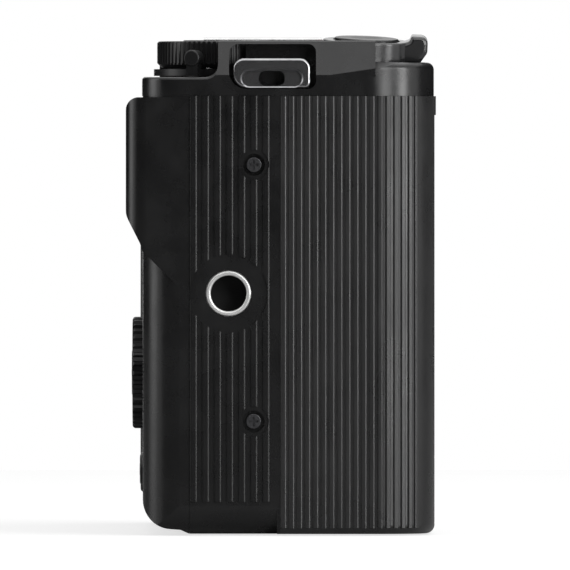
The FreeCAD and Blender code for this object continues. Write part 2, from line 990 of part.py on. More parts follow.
def lug_recess(sign):
    """Recess for a strap lug, at the grip end (-1) or the left end (+1)."""
    wall_x = side_x if sign < 0 else left_x
    deep = wall_x - sign * lug_recess_depth
    body = prism([
        (lug_recess_front_y, lug_recess_low_z, lug_recess_front_round),
        (lug_recess_rear_y, lug_recess_low_z, lug_recess_round),
        (lug_recess_rear_y, lug_recess_top_z, lug_recess_top_round),
        (lug_recess_front_y, lug_recess_top_z, lug_recess_front_round),
    ], SIDE, min(wall_x + sign * past, deep), max(wall_x + sign * past, deep))
    return body


def shoe_recess():
    half = shoe_inner_w / 2 + shoe_sheet + shoe_clear
    return box(-half, half, shoe_front_y - shoe_clear, cover_rear_y + past,
               shoe_floor_z - seam, top_z + past)


def mic_recess(clear, low):
    return rounded_box(mic_x - mic_w / 2 - clear, mic_x + mic_w / 2 + clear, mic_y - mic_depth / 2 - clear,
                       mic_y + mic_depth / 2 + clear, low, top_z + past, mic_round)


def top_cover():
    body = cover_prism(0, case_top_z + top_seam, top_z)
    ledge = box(side_x - past, left_x + past, block_rear_y, cover_rear_y + past, deck_z, top_z + past)
    body = body.cut([ledge, block_side()]).removeSplitter()
    body = fillet_where(body, block_round, flat_at(top_z))
    body = body.cut([dial_pocket(), front_step()])
    body = joined(body, [front_deck()])
    body = body.cut(front_chamfer()).removeSplitter()

    def deck_rim(b, edge):
        at_side = b.XMax < side_x + seam
        at_corner = b.XMax < side_x + rear_right_round + seam and b.YMax > cover_rear_y - seam
        at_rear = b.YMin > cover_rear_y - seam
        return flat_at(deck_z)(b, edge) and (at_side or at_corner or at_rear)

    body = fillet_where(body, deck_round, deck_rim)
    body = joined(body, [side_climb()])
    rim = case_wall + seam
    skirt = cover_prism(rim, case_top_z - skirt_h, case_top_z + 2 * seam)
    body = body.fuse(skirt)
    inner = [cover_prism(rim + skirt_t, case_top_z - past, deck_z - cover_skin)]
    for x0, x1, y0 in cover_hollows:
        inner.append(box(x0, x1, y0, cover_hollow_rear_y, deck_z - cover_skin - seam, top_z - cover_skin))
    boss_r = mount_r + mount_rim_w + 2 * seam
    mount_way = along_y(0, lens_z, boss_r, flange_y - past, front_y + case_wall + seam)
    cuts = inner + [
        mount_way,
        lug_recess(-1),
        lug_recess(1),
        shoe_recess(),
        mic_recess(seam, top_z - mic_t - seam),
        mic_recess(-mic_ledge, top_z - mic_well_h),
        front_way(lamp_spot, lamp_r + running, front_y - past, front_y + lamp_depth + slack),
        upright(dial_x, dial_y, dial_bore_r, case_top_z, top_z),
        tower_clearance(),
    ]
    for x, y, r in top_buttons():
        cuts.append(upright(x, y, r + button_gap, case_top_z, top_z + past))
    body = body.cut(cuts)
    hub_top_z = lever_ring_z + lever_ring_h + running
    hub = upright(dial_x, dial_y, lever_bore_r - running, deck_z - seam, hub_top_z)
    hub = hub.cut(upright(dial_x, dial_y, dial_bore_r, deck_z - past, top_z))
    post_low = -tower_ring_h - past
    post_h = -post_low - shutter_depth - shutter_travel - slack
    post = tower(Part.makeCylinder(tower_core_r(), post_h, Vector(0, 0, post_low)))
    return joined(body, [hub, post])


def top_buttons():
    return (
        (record_spot[0], record_spot[1], record_r),
        (stream_spot[0], stream_spot[1], small_top_r),
        (function_spot[0], function_spot[1], small_top_r),
    )


# Shutter tower: drawn about the origin, then leaned out and forward


def tower(shape):
    placed = shape.copy()
    placed.rotate(Vector(0, 0, 0), Vector(0, 1, 0), -tower_lean_out)
    placed.rotate(Vector(0, 0, 0), Vector(1, 0, 0), tower_lean_front)
    placed.translate(Vector(tower_x, tower_y, tower_top_z))
    return placed


def tower_core_r():
    return zoom_bore_r - running


def tower_clearance():
    """Room for the zoom lever's ring and for the swing of its tab."""
    low = -tower_ring_h - tower_gap
    height = tower_ring_h + beyond
    ring = Part.makeCylinder(tower_r + tower_gap, height, Vector(0, 0, low))
    swing = Part.makeCylinder(zoom_tab_reach + zoom_tab_gap, height, Vector(0, 0, low), Vector(0, 0, 1),
                              2 * zoom_room)
    swing.rotate(Vector(0, 0, 0), Vector(0, 0, 1), -90 - zoom_room)
    return tower(ring.fuse(swing))


def zoom_lever():
    ring = Part.makeCylinder(tower_r, tower_ring_h, Vector(0, 0, -tower_ring_h))
    ring = fillet_where(ring, tower_rim_round, flat_at(0))
    half = zoom_tab_w / 2
    profile = outline([
        (-zoom_tab_reach, -1.4, 0.9),
        (-zoom_tab_reach + 1.0, -tower_ring_h, 0.3),
        (-tower_r + 1.4, -tower_ring_h, 0),
        (-tower_r + 1.4, -0.4, 0),
        (-tower_r + 1.0, -0.05, 0),
        (-tower_r + 0.1, 0.25, 0.6),
        (-tower_r - 0.2, zoom_tab_rise, 0.3),
        (-zoom_tab_reach, zoom_tab_rise, 1.1),
    ], SIDE, -half)
    tab = profile.extrude(Vector(zoom_tab_w, 0, 0))

    def tab_side(b, edge):
        flat = b.XLength < tiny
        return flat and b.YMin < -tower_r - 1.0 and b.YMax < -tower_r + 0.2

    tab = fillet_where(tab, zoom_tab_round, tab_side)
    lever = ring.fuse(tab)
    lever = lever.cut(Part.makeCylinder(zoom_bore_r, 2 * beyond, Vector(0, 0, -beyond)))
    return tower(lever)


def shutter_button():
    r = shutter_r
    cap = Part.makeCylinder(r, shutter_depth + shutter_rise, Vector(0, 0, -shutter_depth))
    cap = fillet_where(cap, shutter_edge_round, flat_at(shutter_rise))
    dish = Part.makeSphere(shutter_dish_r, Vector(0, 0, shutter_rise + shutter_dish_r - shutter_dish))
    return tower(cap.cut(dish))


def tower_axis():
    way = Vector(0, 0, 1)
    turned_way = Part.makeLine(Vector(0, 0, 0), way)
    turned_way.rotate(Vector(0, 0, 0), Vector(0, 1, 0), -tower_lean_out)
    turned_way.rotate(Vector(0, 0, 0), Vector(1, 0, 0), tower_lean_front)
    return turned_way.Vertexes[1].Point


# Dial, lever and buttons


def toothed_face(r, depth, count, plane, level):
    """A disc whose rim has evenly spaced rounded-off teeth."""
    corners = []
    for i in range(count):
        middle = 2 * math.pi * i / count
        step = 2 * math.pi / count
        for shift, drop in ((-tooth_foot, depth), (-tooth_top, 0), (tooth_top, 0), (tooth_foot, depth)):
            radius = r - drop
            angle = middle + shift * step
            corners.append((radius * math.cos(angle), radius * math.sin(angle), 0))
    return outline(corners, plane, level)


def mode_dial():
    teeth = toothed_face(dial_r, dial_rib_depth, dial_rib_count, PLAN, dial_z)
    body = teeth.extrude(Vector(0, 0, dial_top_z - dial_z))
    body.translate(Vector(dial_x, dial_y, 0))
    shape = upright(dial_x, dial_y, dial_r + knurl_skin, dial_z, dial_top_z)
    shape = fillet_where(shape, dial_rim_round, flat_at(dial_top_z))
    shape = shape.makeChamfer(dial_foot_chamfer, [e for e in shape.Edges if flat_at(dial_z)(e.BoundBox, e)])
    body = body.common(shape)
    dish = upright(dial_x, dial_y, dial_r - dial_rim_w, dial_top_z - dial_dish, dial_top_z + past)
    bore = upright(dial_x, dial_y, dial_bore_r, dial_z - past, dial_top_z - dial_cap_t)
    return body.cut([dish, bore])


def dial_spindle():
    return upright(dial_x, dial_y, dial_bore_r - running, deck_z - cover_skin,
                   dial_top_z - dial_cap_t - 2 * slack)


def power_lever():
    ring = upright(dial_x, dial_y, lever_ring_r, lever_ring_z, lever_ring_z + lever_ring_h)
    half = lever_neck_w / 2
    foot = box(dial_x - lever_reach, dial_x - lever_ring_r + past, dial_y - half, dial_y + half,
               lever_ring_z, lever_ring_z + lever_ring_h)
    neck = box(dial_x - lever_reach, dial_x - lever_reach + lever_neck_t, dial_y - half, dial_y + half,
               lever_ring_z, lever_head_z)
    head_x = dial_x - lever_reach - lever_head_out
    head = along_x(dial_y, lever_head_z, lever_head_r, head_x, head_x + lever_head_l)
    head = head.makeFillet(lever_head_round, [e for e in head.Edges if e.BoundBox.XLength < tiny])
    lever = joined(ring, [foot, neck, head])
    bore = upright(dial_x, dial_y, lever_bore_r, lever_ring_z - past, lever_ring_z + lever_ring_h + past)
    lever = lever.cut(bore)
    return turned(lever, Vector(dial_x, dial_y, 0), Vector(0, 0, 1), -lever_angle)


def wall_key(spot, r, inner_y, outer_y):
    """A round key in an upright wall, its outer rim rounded."""
    cap = along_y(spot[0], spot[1], r, min(inner_y, outer_y), max(inner_y, outer_y))
    return fillet_where(cap, key_round, level_y(outer_y))


def rear_button(spot):
    flange_out = rear_y - rear_wall - flange_gap
    cap = wall_key(spot, small_rear_r, flange_out - flange_t, rear_y + button_rise)
    flange = along_y(spot[0], spot[1], small_rear_r + flange_lip, flange_out - flange_t, flange_out)
    return cap.fuse(flange).removeSplitter()


def front_button(spot, r, rise):
    return wall_key(spot, r, front_y + case_wall - flange_gap, front_y - rise)


def top_button(spot, r):
    face = top_z + top_button_rise
    cap = upright(spot[0], spot[1], r, deck_z - cover_skin + button_travel, face)
    return fillet_where(cap, top_key_round, flat_at(face))


# Rear control ring


def control_ring():
    face = toothed_face(ring_r, ring_ridge_depth, ring_ridge_count, FRONT, ring_in_y)
    ring = face.extrude(Vector(0, ring_out_y - ring_in_y, 0))
    ring.translate(Vector(ring_x, 0, ring_z))
    shape = along_y(ring_x, ring_z, ring_r + knurl_skin, ring_in_y, ring_out_y)
    shape = fillet_where(shape, ring_rim_round, level_y(ring_out_y))
    ring = ring.common(shape)
    return ring.cut(along_y(ring_x, ring_z, ring_bore_r, ring_in_y - past, ring_out_y + past))


def rocker_plate():
    disc = along_y(ring_x, ring_z, ring_r - rocker_inset, rocker_back_y, rocker_back_y + rocker_t)
    hub = along_y(ring_x, ring_z, ring_bore_r - running, rocker_back_y, ring_out_y - rocker_sink)
    plate = disc.fuse(hub).removeSplitter()
    return plate.cut(along_y(ring_x, ring_z, set_r + button_gap, rocker_back_y - past, ring_out_y + past))


def rocker_gimbal():
    back = rocker_back_y - gimbal_gap - gimbal_t
    ring = along_y(ring_x, ring_z, ring_r, back, back + gimbal_t)
    return ring.cut(along_y(ring_x, ring_z, ring_r - gimbal_w, back - past, back + gimbal_t + past))


def set_button():
    return wall_key((ring_x, ring_z), set_r, rocker_back_y + rocker_t, ring_out_y + set_rise)


# Lens mount


def lock_angle():
    return math.atan2(release_spot[1] - lens_z, release_spot[0])


def lock_pin_x():
    return lock_pin_circle_r * math.cos(lock_angle())


def lock_pin_z():
    return lens_z + lock_pin_circle_r * math.sin(lock_angle())


def mount_screw_spots():
    spots = []
    for degrees in (60, 120, 180, 240, 300, 0):
        angle = math.radians(degrees)
        spots.append((mount_screw_r * math.cos(angle), lens_z + mount_screw_r * math.sin(angle)))
    return spots


def annulus(outer, inner, y0, y1):
    return along_y(0, lens_z, outer, y0, y1).cut(along_y(0, lens_z, inner, y0 - past, y1 + past))


def sector(outer, inner, y0, y1, middle, sweep):
    """Part of a ring about the lens axis, its middle at an angle up from +X."""
    piece = Part.makeCylinder(outer, y1 - y0, Vector(0, y0, lens_z), Vector(0, 1, 0), sweep)
    piece = piece.cut(along_y(0, lens_z, inner, y0 - past, y1 + past)).Solids[0]
    start = math.degrees(math.atan2(piece.CenterOfMass.z - lens_z, piece.CenterOfMass.x))
    return turned(piece, Vector(0, 0, lens_z), Vector(0, 1, 0), start - middle)


def lens_mount_ring():
    back = flange_y + mount_ring_t
    ring = annulus(mount_r, throat_r, flange_y, back)
    ring = fillet_where(ring, mount_edge_round, level_y(flange_y))
    ring = ring.cut(along_y(0, lens_z, mount_groove_r, flange_y + mount_lip_t, back + past))
    claws = []
    claw_y = flange_y + mount_lip_t
    for middle in (30, 150, 270):
        claws.append(sector(mount_groove_r + seam, claw_r, claw_y, back, middle, claw_sweep))
    ring = joined(ring, claws)
    cuts = [along_y(lock_pin_x(), lock_pin_z(), lock_pin_r + running, flange_y - past, back + past)]
    for x, z in mount_screw_spots():
        cuts.append(along_y(x, z, mount_head_r + running, flange_y - past, flange_y + mount_head_h + seam))
        cuts.append(along_y(x, z, screw_shank_r + running, flange_y - past, back + past))
    return ring.cut(cuts)


def screw_solid(head_r, head_h, shank_length):
    """A screw with its head's top at the origin, its shank along +Z and a cross recess."""
    screw = Part.makeCylinder(head_r, head_h)
    screw = fillet_where(screw, head_round, flat_at(0))
    screw = screw.fuse(Part.makeCylinder(screw_shank_r, shank_length))
    arm = head_r * cross_reach
    slot = head_r * cross_half_w
    cross = [
        box(-arm, arm, -slot, slot, -past, head_h * cross_depth),
        box(-slot, slot, -arm, arm, -past, head_h * cross_depth),
    ]
    return screw.cut(cross)


def mount_screws():
    screws = []
    for x, z in mount_screw_spots():
        screw = screw_solid(mount_head_r, mount_head_h, front_y + case_wall - flange_y - 2 * seam)
        screw.rotate(Vector(0, 0, 0), Vector(1, 0, 0), -90)
        screw.translate(Vector(x, flange_y + mount_head_sink, z))
        screws.append(screw)
    return Part.makeCompound(screws)


def case_screws():
    screws = []
    for y, z in (side_screw_upper, side_screw_lower):
        screw = screw_solid(screw_head_r, side_head_h, case_wall - screw_sink)
        screw.rotate(Vector(0, 0, 0), Vector(0, 1, 0), 90)
        screw.translate(Vector(side_x + screw_sink, y, z))
        screws.append(screw)
    for x, y in base_screw_spots:
        screw = screw_solid(screw_head_r, base_head_h, base_shank_h)
        screw.translate(Vector(x, y, screw_sink))
        screws.append(screw)
    return Part.makeCompound(screws)


def lens_lock_pin():
    pin = along_y(lock_pin_x(), lock_pin_z(), lock_pin_r, flange_y - lock_pin_out,
                  front_y + case_wall - 2 * seam)
    return fillet_where(pin, lock_pin_round, level_y(flange_y - lock_pin_out))


def mount_baffle():
    y0 = chassis_y + chassis_t + seam
    plate = along_y(0, lens_z, throat_r + baffle_lap, y0, y0 + baffle_t)
    half_w = window_w / 2 + baffle_lap
    half_h = window_h / 2 + baffle_lap
    opening = rounded_box(-half_w, half_w, y0 - past, y0 + baffle_t + past, lens_z - half_h,
                          lens_z + half_h, baffle_round, FRONT)
    return plate.cut(opening)


def contact_block():
    y0 = chassis_y + chassis_t + seam
    return sector(contact_outer_r, contact_inner_r, contact_y, y0 - seam, contact_middle, contact_sweep)


def contact_pin_places():
    places = []
    middle = (contact_outer_r + contact_inner_r) / 2
    for i in range(contact_pin_count):
        share = i / (contact_pin_count - 1) - 0.5
        angle = math.radians(contact_middle + contact_pin_sweep * share)
        places.append((middle * math.cos(angle), lens_z + middle * math.sin(angle)))
    return places


def mount_contact_block():
    holes = []
    end_y = contact_y + contact_pin_in + press
    for x, z in contact_pin_places():
        holes.append(along_y(x, z, contact_pin_r + 2 * press, contact_y - past, end_y))
    return contact_block().cut(holes)


def mount_contact_pins():
    pins = []
    for x, z in contact_pin_places():
        pin = along_y(x, z, contact_pin_r, contact_y - contact_pin_out, contact_y + contact_pin_in)
        pins.append(fillet_where(pin, contact_pin_round, level_y(contact_y - contact_pin_out)))
    return Part.makeCompound(pins)


# Shutter, sensor and inner parts


def chassis_frame():
    low = base_plate_t + chassis_gap
    back = chassis_y + chassis_t
    plate = box(chassis_right_x, chassis_left_x, chassis_y, back, low, case_top_z - skirt_h - seam)
    shelf = box(-shelf_half_w, shelf_half_w, chassis_y, board_y - shelf_gap, low, low + shelf_t)
    frame = plate.fuse(shelf).removeSplitter()
    cuts = [
        along_y(0, lens_z, throat_r - chassis_lip, chassis_y - past, back + past),
        along_y(lock_pin_x(), lock_pin_z(), lock_pin_r + chassis_way, chassis_y - past, back + past),
        front_way(release_spot, release_r + chassis_way, chassis_y - past, back + past),
        front_way(front_record_spot, front_record_r + chassis_way, chassis_y - past, back + past),
        socket_way(slack),
    ]
    return frame.cut(cuts)


def shutter_frame():
    half_w = shutter_frame_w / 2
    low = lens_z - window_h / 2 - blade_h - shutter_low_margin
    top = lens_z + window_h / 2 + shutter_top_margin
    frame = box(-half_w, half_w, shutter_front_y, shutter_back_y, low, top)
    pocket_w = blade_w / 2 + blade_side_gap
    pocket = box(-pocket_w, pocket_w, shutter_front_y + shutter_wall, shutter_back_y - shutter_wall,
                 low + shutter_low_wall, top - shutter_top_wall)
    window = rounded_box(-window_w / 2, window_w / 2, shutter_front_y - past, shutter_back_y + past,
                         lens_z - window_h / 2, lens_z + window_h / 2, window_round, FRONT)
    return frame.cut([pocket, window])


def shutter_blade(place):
    """One of three blades parked below the window; place 0 is the one that runs furthest."""
    y = shutter_front_y + blade_first + place * blade_step
    top = lens_z - window_h / 2 - blade_park
    half = blade_w / 2
    blade = box(-half, half, y, y + blade_t, top - blade_h, top)
    return blade


def sensor_frame():
    half_w = sensor_frame_w / 2
    half_h = sensor_frame_h / 2
    plate = rounded_box(-half_w, half_w, sensor_frame_y, sensor_frame_y + sensor_frame_t,
                        lens_z - half_h, lens_z + half_h, sensor_frame_round, FRONT)
    nest_w = sensor_w / 2 + sensor_nest
    nest_h = sensor_h / 2 + sensor_nest
    nest = box(-nest_w, nest_w, sensor_frame_y - past, sensor_y + sensor_t + sensor_gap,
               lens_z - nest_h, lens_z + nest_h)
    legs = []
    for x in (-half_w + leg_inset, half_w - leg_inset):
        for up in leg_heights:
            legs.append(along_y(x, lens_z + up, leg_r, shutter_back_y + sensor_gap, sensor_frame_y + seam))
    return joined(plate.cut(nest), legs)


def image_sensor():
    half_w = sensor_w / 2 + sensor_border
    half_h = sensor_h / 2 + sensor_border
    return box(-half_w, half_w, sensor_y, sensor_y + sensor_t, lens_z - half_h, lens_z + half_h)


def sensor_glass():
    back = sensor_frame_y - sensor_gap
    half_w = sensor_w / 2 + glass_border
    half_h = sensor_h / 2 + glass_border
    return rounded_box(-half_w, half_w, back - glass_t, back, lens_z - half_h, lens_z + half_h,
                       glass_round, FRONT)


def main_board():
    back = board_y + board_t
    low = tripod_depth + tripod_end_t + board_lift
    board = box(chassis_right_x, board_left_x, board_y, back, low, board_top_z)
    return joined(board, [box(x0, x1, back - seam, back + chip_t, z0, z1) for x0, x1, z0, z1 in chips])


def battery_box():
    x0 = battery_right_x - slack - box_wall
    x1 = battery_right_x + battery_w + slack
    y0 = battery_front_y - slack - box_wall
    y1 = battery_front_y + battery_depth + slack + box_wall
    low = door_z + door_t + box_lift
    top = battery_z + battery_h + slack + box_wall
    outer = rounded_box(x0, x1 + box_wall, y0, y1, low, top, box_wall + battery_round)
    inner = rounded_box(x0 + box_wall, x1, y0 + box_wall, y1 - box_wall, low - past, top - box_wall,
                        battery_round)
    card_x = x1 + box_wall
    card_end_x = card_x + card_w + 2 * slack
    card_rear_y = card_front_y + card_depth + slack
    card_top_z = battery_z + card_h + card_end_gap
    sleeve = box(card_x - seam, card_end_x + box_wall, card_front_y - slack - box_wall,
                 card_rear_y + box_wall, low, card_top_z + box_wall)
    slot = box(card_x, card_end_x, card_front_y - slack, card_rear_y, low - past, card_top_z)
    return outer.cut(inner).fuse(sleeve).cut(slot).removeSplitter()


def battery():
    x0 = battery_right_x
    x1 = x0 + battery_w
    y0 = battery_front_y
    y1 = y0 + battery_depth
    return rounded_box(x0, x1, y0, y1, battery_z, battery_z + battery_h, battery_round)


def memory_card():
    x0 = battery_right_x + battery_w + box_wall + 2 * slack
    card = box(x0, x0 + card_w, card_front_y, card_front_y + card_depth, battery_z, battery_z + card_h)
    corner = Part.Face(Part.makePolygon([
        Vector(x0 - past, card_front_y - past, battery_z + card_h - card_corner),
        Vector(x0 - past, card_front_y + card_corner, battery_z + card_h + past),
        Vector(x0 - past, card_front_y - past, battery_z + card_h + past),
        Vector(x0 - past, card_front_y - past, battery_z + card_h - card_corner),
    ])).extrude(Vector(card_w + 2 * past, 0, 0))
    return card.cut(corner)


# Battery door


def door_pin_z():
    return door_z + door_knuckle_r


def battery_door():
    plate = case_prism(split_y - seam, case_wall + door_gap, door_z, door_z + door_t)
    door_right_x = side_x + case_wall + sill_w + door_gap
    plate = plate.common(box(door_right_x, door_hinge_x, grip_front_y, split_y, 0, beyond))
    notch_x = door_hinge_x - door_notch_w
    near = box(notch_x, left_x, grip_front_y - past, door_front_y - seam, -past, beyond)
    far = box(notch_x, left_x, door_rear_y + seam, split_y + past, -past, beyond)
    knuckle = along_y(door_hinge_x, door_pin_z(), door_knuckle_r, door_front_y, door_rear_y)
    door = plate.cut([near, far]).fuse(knuckle).removeSplitter()
    reach_y = latch_w / 2 + slack
    cuts = [
        along_y(door_hinge_x, door_pin_z(), door_pin_r + running, door_front_y - past, door_rear_y + past),
        box(latch_x - latch_l / 2 - slack, latch_x + latch_l / 2 + latch_travel + slack,
            latch_y - reach_y, latch_y + reach_y, -past, door_z + door_t + past),
    ]
    return door.cut(cuts)


def battery_latch():
    top = door_z + door_t
    half_l = latch_l / 2
    half_w = latch_w / 2
    slider = rounded_box(latch_x - half_l, latch_x + half_l, latch_y - half_w, latch_y + half_w,
                         door_z, top + 2 * latch_gap, latch_round)
    wide_l = half_l + latch_flange
    wide_w = half_w + latch_flange
    flange = box(latch_x - wide_l, latch_x + wide_l, latch_y - wide_w, latch_y + wide_w,
                 top + latch_gap, top + latch_gap + latch_flange_t)
    grooves = []
    for i in (-1, 0, 1):
        x = latch_x + i * groove_pitch
        grooves.append(box(x - groove_half_w, x + groove_half_w, latch_y - half_w + groove_inset,
                           latch_y + half_w - groove_inset, door_z - past, door_z + groove_depth))
    return slider.fuse(flange).removeSplitter().cut(grooves)


# Monitor


def monitor_frame():
    body = rounded_box(monitor_right_x, monitor_left_x, monitor_back_y, monitor_out_y, monitor_low_z,
                       monitor_top_z, monitor_round, FRONT)
    body = fillet_where(body, monitor_rim_round, level_y(monitor_out_y))
    nest = rounded_box(monitor_right_x + screen_margin, monitor_left_x - screen_margin,
                       monitor_out_y - screen_t - seam, monitor_out_y + past, monitor_low_z + screen_margin,
                       monitor_top_z - screen_margin, screen_round, FRONT)
    return body.cut(nest)


def monitor_glass():
    margin = screen_margin + screen_gap
    face = monitor_out_y - screen_gap
    return rounded_box(monitor_right_x + margin, monitor_left_x - margin, face - screen_t, face,
                       monitor_low_z + margin, monitor_top_z - margin, screen_round - screen_gap, FRONT)


def monitor_arm():
    barrel = upright(hinge_x, hinge_y, barrel_r, barrel_low_z, barrel_top_z)
    tongue = box(monitor_left_x + screen_gap, hinge_x, hinge_y - tongue_half_t, hinge_y + tongue_half_t,
                 barrel_low_z, barrel_top_z)
    arm = barrel.fuse(tongue).removeSplitter()
    bore = upright(hinge_x, hinge_y, hinge_pin_r + running, barrel_low_z - past, barrel_top_z + past)
    return arm.cut(bore)


def hinge_pins():
    monitor = upright(hinge_x, hinge_y, hinge_pin_r, hinge_pin_low_z, hinge_pin_top_z)
    door = along_y(door_hinge_x, door_pin_z(), door_pin_r, door_front_y - ear_gap - ear_t,
                   door_rear_y + ear_gap + ear_t)
    return Part.makeCompound([monitor, door])


# Ports


def port_cover(low, top):
    cover = rounded_box(left_x - port_cover_t, left_x, port_front_y, port_rear_y, low, top,
                        port_round, SIDE)
    cover = fillet_where(cover, port_rim_round, level_x(left_x))
    notch = along_x(port_rear_y, (low + top) / 2, port_notch_r, left_x - port_notch_t, left_x + past)
    return cover.cut(notch)


def port_sockets():
    """Inner panel with two audio jacks and two data sockets."""
    back = left_x - case_wall - seam - port_panel_t
    middle = (port_rear_y + port_front_y) / 2
    panel = box(back, back + port_panel_t, port_front_y - panel_margin, board_y - panel_gap,
                data_low_z - panel_end, audio_top_z + panel_end)
    mouth = back + port_panel_t + socket_out
    jacks = []
    bores = []
    for z in (audio_low_z + jack_inset, audio_top_z - jack_inset):
        jacks.append(along_x(middle, z, jack_outer_r, back - jack_depth, mouth))
        bores.append(along_x(middle, z, jack_r, back - jack_depth + socket_wall, mouth + past))
    for z, w, h in data_sockets:
        shell = rounded_box(back - socket_depth, mouth, middle - w - socket_skin, middle + w + socket_skin,
                            z - h - socket_skin, z + h + socket_skin, socket_outer_round, SIDE)
        jacks.append(shell)
        bores.append(rounded_box(back - socket_depth + socket_wall, mouth + past, middle - w, middle + w,
                                 z - h, z + h, socket_inner_round, SIDE))
    return joined(panel, jacks).cut(bores)


# Shoe, grille, lamp and lugs


def shoe_rails():
    inner = shoe_inner_w / 2
    outer = inner + shoe_sheet
    mouth = shoe_mouth_w / 2
    channel = prism([
        (-outer, shoe_floor_z, shoe_outer_round),
        (outer, shoe_floor_z, shoe_outer_round),
        (outer, shoe_top_z, shoe_outer_round),
        (mouth, shoe_top_z, shoe_lip_round),
        (mouth, shoe_top_z - shoe_sheet, 0),
        (inner, shoe_top_z - shoe_sheet, shoe_inner_round),
        (inner, shoe_floor_z + shoe_floor_t, 0),
        (-inner, shoe_floor_z + shoe_floor_t, 0),
        (-inner, shoe_top_z - shoe_sheet, shoe_inner_round),
        (-mouth, shoe_top_z - shoe_sheet, 0),
        (-mouth, shoe_top_z, shoe_lip_round),
        (-outer, shoe_top_z, shoe_outer_round),
    ], FRONT, shoe_front_y, shoe_rear_y)
    stop = box(-inner - shoe_stop_lap, inner + shoe_stop_lap, shoe_front_y, shoe_front_y + shoe_sheet,
               shoe_floor_z + shoe_floor_t / 2, top_z - shoe_stop_sink)
    rails = channel.fuse(stop).removeSplitter()
    holes = []
    hole_r = shoe_contact_r + shoe_contact_gap
    for x, y in shoe_contact_spots:
        holes.append(upright(x, y, hole_r, shoe_floor_z - past, shoe_floor_z + past))
    return rails.cut(holes)


def shoe_contacts():
    pads = []
    pad_top_z = shoe_floor_z + shoe_floor_t + shoe_contact_gap
    for x, y in shoe_contact_spots:
        pads.append(upright(x, y, shoe_contact_r, shoe_floor_z, pad_top_z))
    return Part.makeCompound(pads)


def mic_grille():
    plate = mic_recess(0, top_z - mic_t).common(box(0, left_x, front_y, rear_y, 0, top_z - mic_sink))
    slots = []
    half = mic_depth / 2 - mic_slot_end
    count = int((mic_w - 2 * mic_ledge) / mic_slot_pitch)
    first = mic_x - (count - 1) * mic_slot_pitch / 2
    for i in range(count):
        x = first + i * mic_slot_pitch
        slots.append(rounded_box(x - mic_slot_w / 2, x + mic_slot_w / 2, mic_y - half, mic_y + half,
                                 0, top_z + past, mic_slot_round))
    return plate.cut(slots)


def tally_lamp():
    lamp = front_way(lamp_spot, lamp_r, front_y - lamp_rise, front_y + lamp_depth)
    return fillet_where(lamp, lamp_rim_round, level_y(front_y - lamp_rise))


def strap_lug(sign):
    """A lug at the grip end (-1) or the left end (+1): a stepped slot in an upright plate."""
    wall_x = side_x if sign < 0 else left_x
    out = wall_x - sign * lug_inset
    back = out - sign * lug_t
    half = lug_w / 2
    plate = prism([
        (lug_y - half, lug_low_z, lug_low_round),
        (lug_y + half, lug_low_z, lug_recess_round - lug_recess_rear_y + lug_y + half),
        (lug_y + half, lug_top_z, lug_round),
        (lug_y - half, lug_top_z, lug_round),
    ], SIDE, min(out, back), max(out, back))

    def outer_rim(b, edge):
        return level_x(out)(b, edge) and b.ZMax > lug_low_z + tiny

    plate = fillet_where(plate, lug_edge_round, outer_rim)
    step = out - sign * lug_step
    root = wall_x - sign * lug_recess_depth
    slot_half = lug_slot_w / 2
    hole_half = lug_hole_w / 2
    low = lug_slot_z - lug_slot_h / 2
    top = lug_slot_z + lug_slot_h / 2
    slot = rounded_box(min(out + sign, step), max(out + sign, step), lug_y - slot_half, lug_y + slot_half,
                       low, top, lug_slot_h / 2 - lug_end_flat, SIDE)
    hole = rounded_box(min(out, back - sign), max(out, back - sign), lug_y - hole_half, lug_y + hole_half,
                       low + seam, top - seam, lug_slot_h / 2 - slack, SIDE)
    plate = plate.cut([slot, hole])

    def slot_rim(b, edge):
        inside = b.ZMin > lug_low_z + tiny and b.ZMax < lug_top_z - lug_edge_round - tiny
        return inside and level_x(out)(b, edge)

    rim = [edge for edge in plate.Edges if slot_rim(edge.BoundBox, edge)]
    plate = plate.makeChamfer(lug_slot_chamfer, rim)
    feet = []
    foot_x = sorted((back, root + sign * lug_foot_gap))
    for low_y, high_y in ((lug_y - half + lug_foot_front, lug_y - hole_half - lug_foot_inner),
                          (lug_y + hole_half + lug_foot_inner, lug_y + half - lug_foot_rear)):
        feet.append(box(foot_x[0], foot_x[1], low_y, high_y, lug_low_z, lug_low_z + lug_foot_h))
    return joined(plate, feet)


def strap_lugs():
    return Part.makeCompound([strap_lug(-1), strap_lug(1)])


# Tripod sockets


def socket_solid():
    """A blind threaded insert: mouth at the origin, its length along +Z."""
    neck = Part.makeCylinder(tripod_neck_r, tripod_neck_h)
    barrel = Part.makeCylinder(tripod_body_r, tripod_depth + tripod_end_t - tripod_neck_h,
                               Vector(0, 0, tripod_neck_h))
    return neck.fuse(barrel).removeSplitter().cut(Part.makeCylinder(tripod_r, tripod_depth))


def socket_way(clear):
    """Stepped hole for a tripod socket whose mouth is at the origin."""
    neck = Part.makeCylinder(tripod_neck_r + clear, tripod_neck_h + past, Vector(0, 0, -past))
    barrel = Part.makeCylinder(tripod_body_r + clear, 2 * tripod_depth, Vector(0, 0, tripod_neck_h - clear))
    return neck.fuse(barrel)


def on_side(shape):
    """Turns a socket or its hole, drawn along +Z, into its place on the side."""
    placed = turned(shape, Vector(0, 0, 0), Vector(0, 1, 0), 90)
    placed.translate(Vector(side_x, side_socket_y, side_socket_z))
    return placed


def side_tripod_socket():
    return on_side(fillet_where(socket_solid(), tripod_rim_round, flat_at(0)))


def base_tripod_socket():
    return socket_solid()


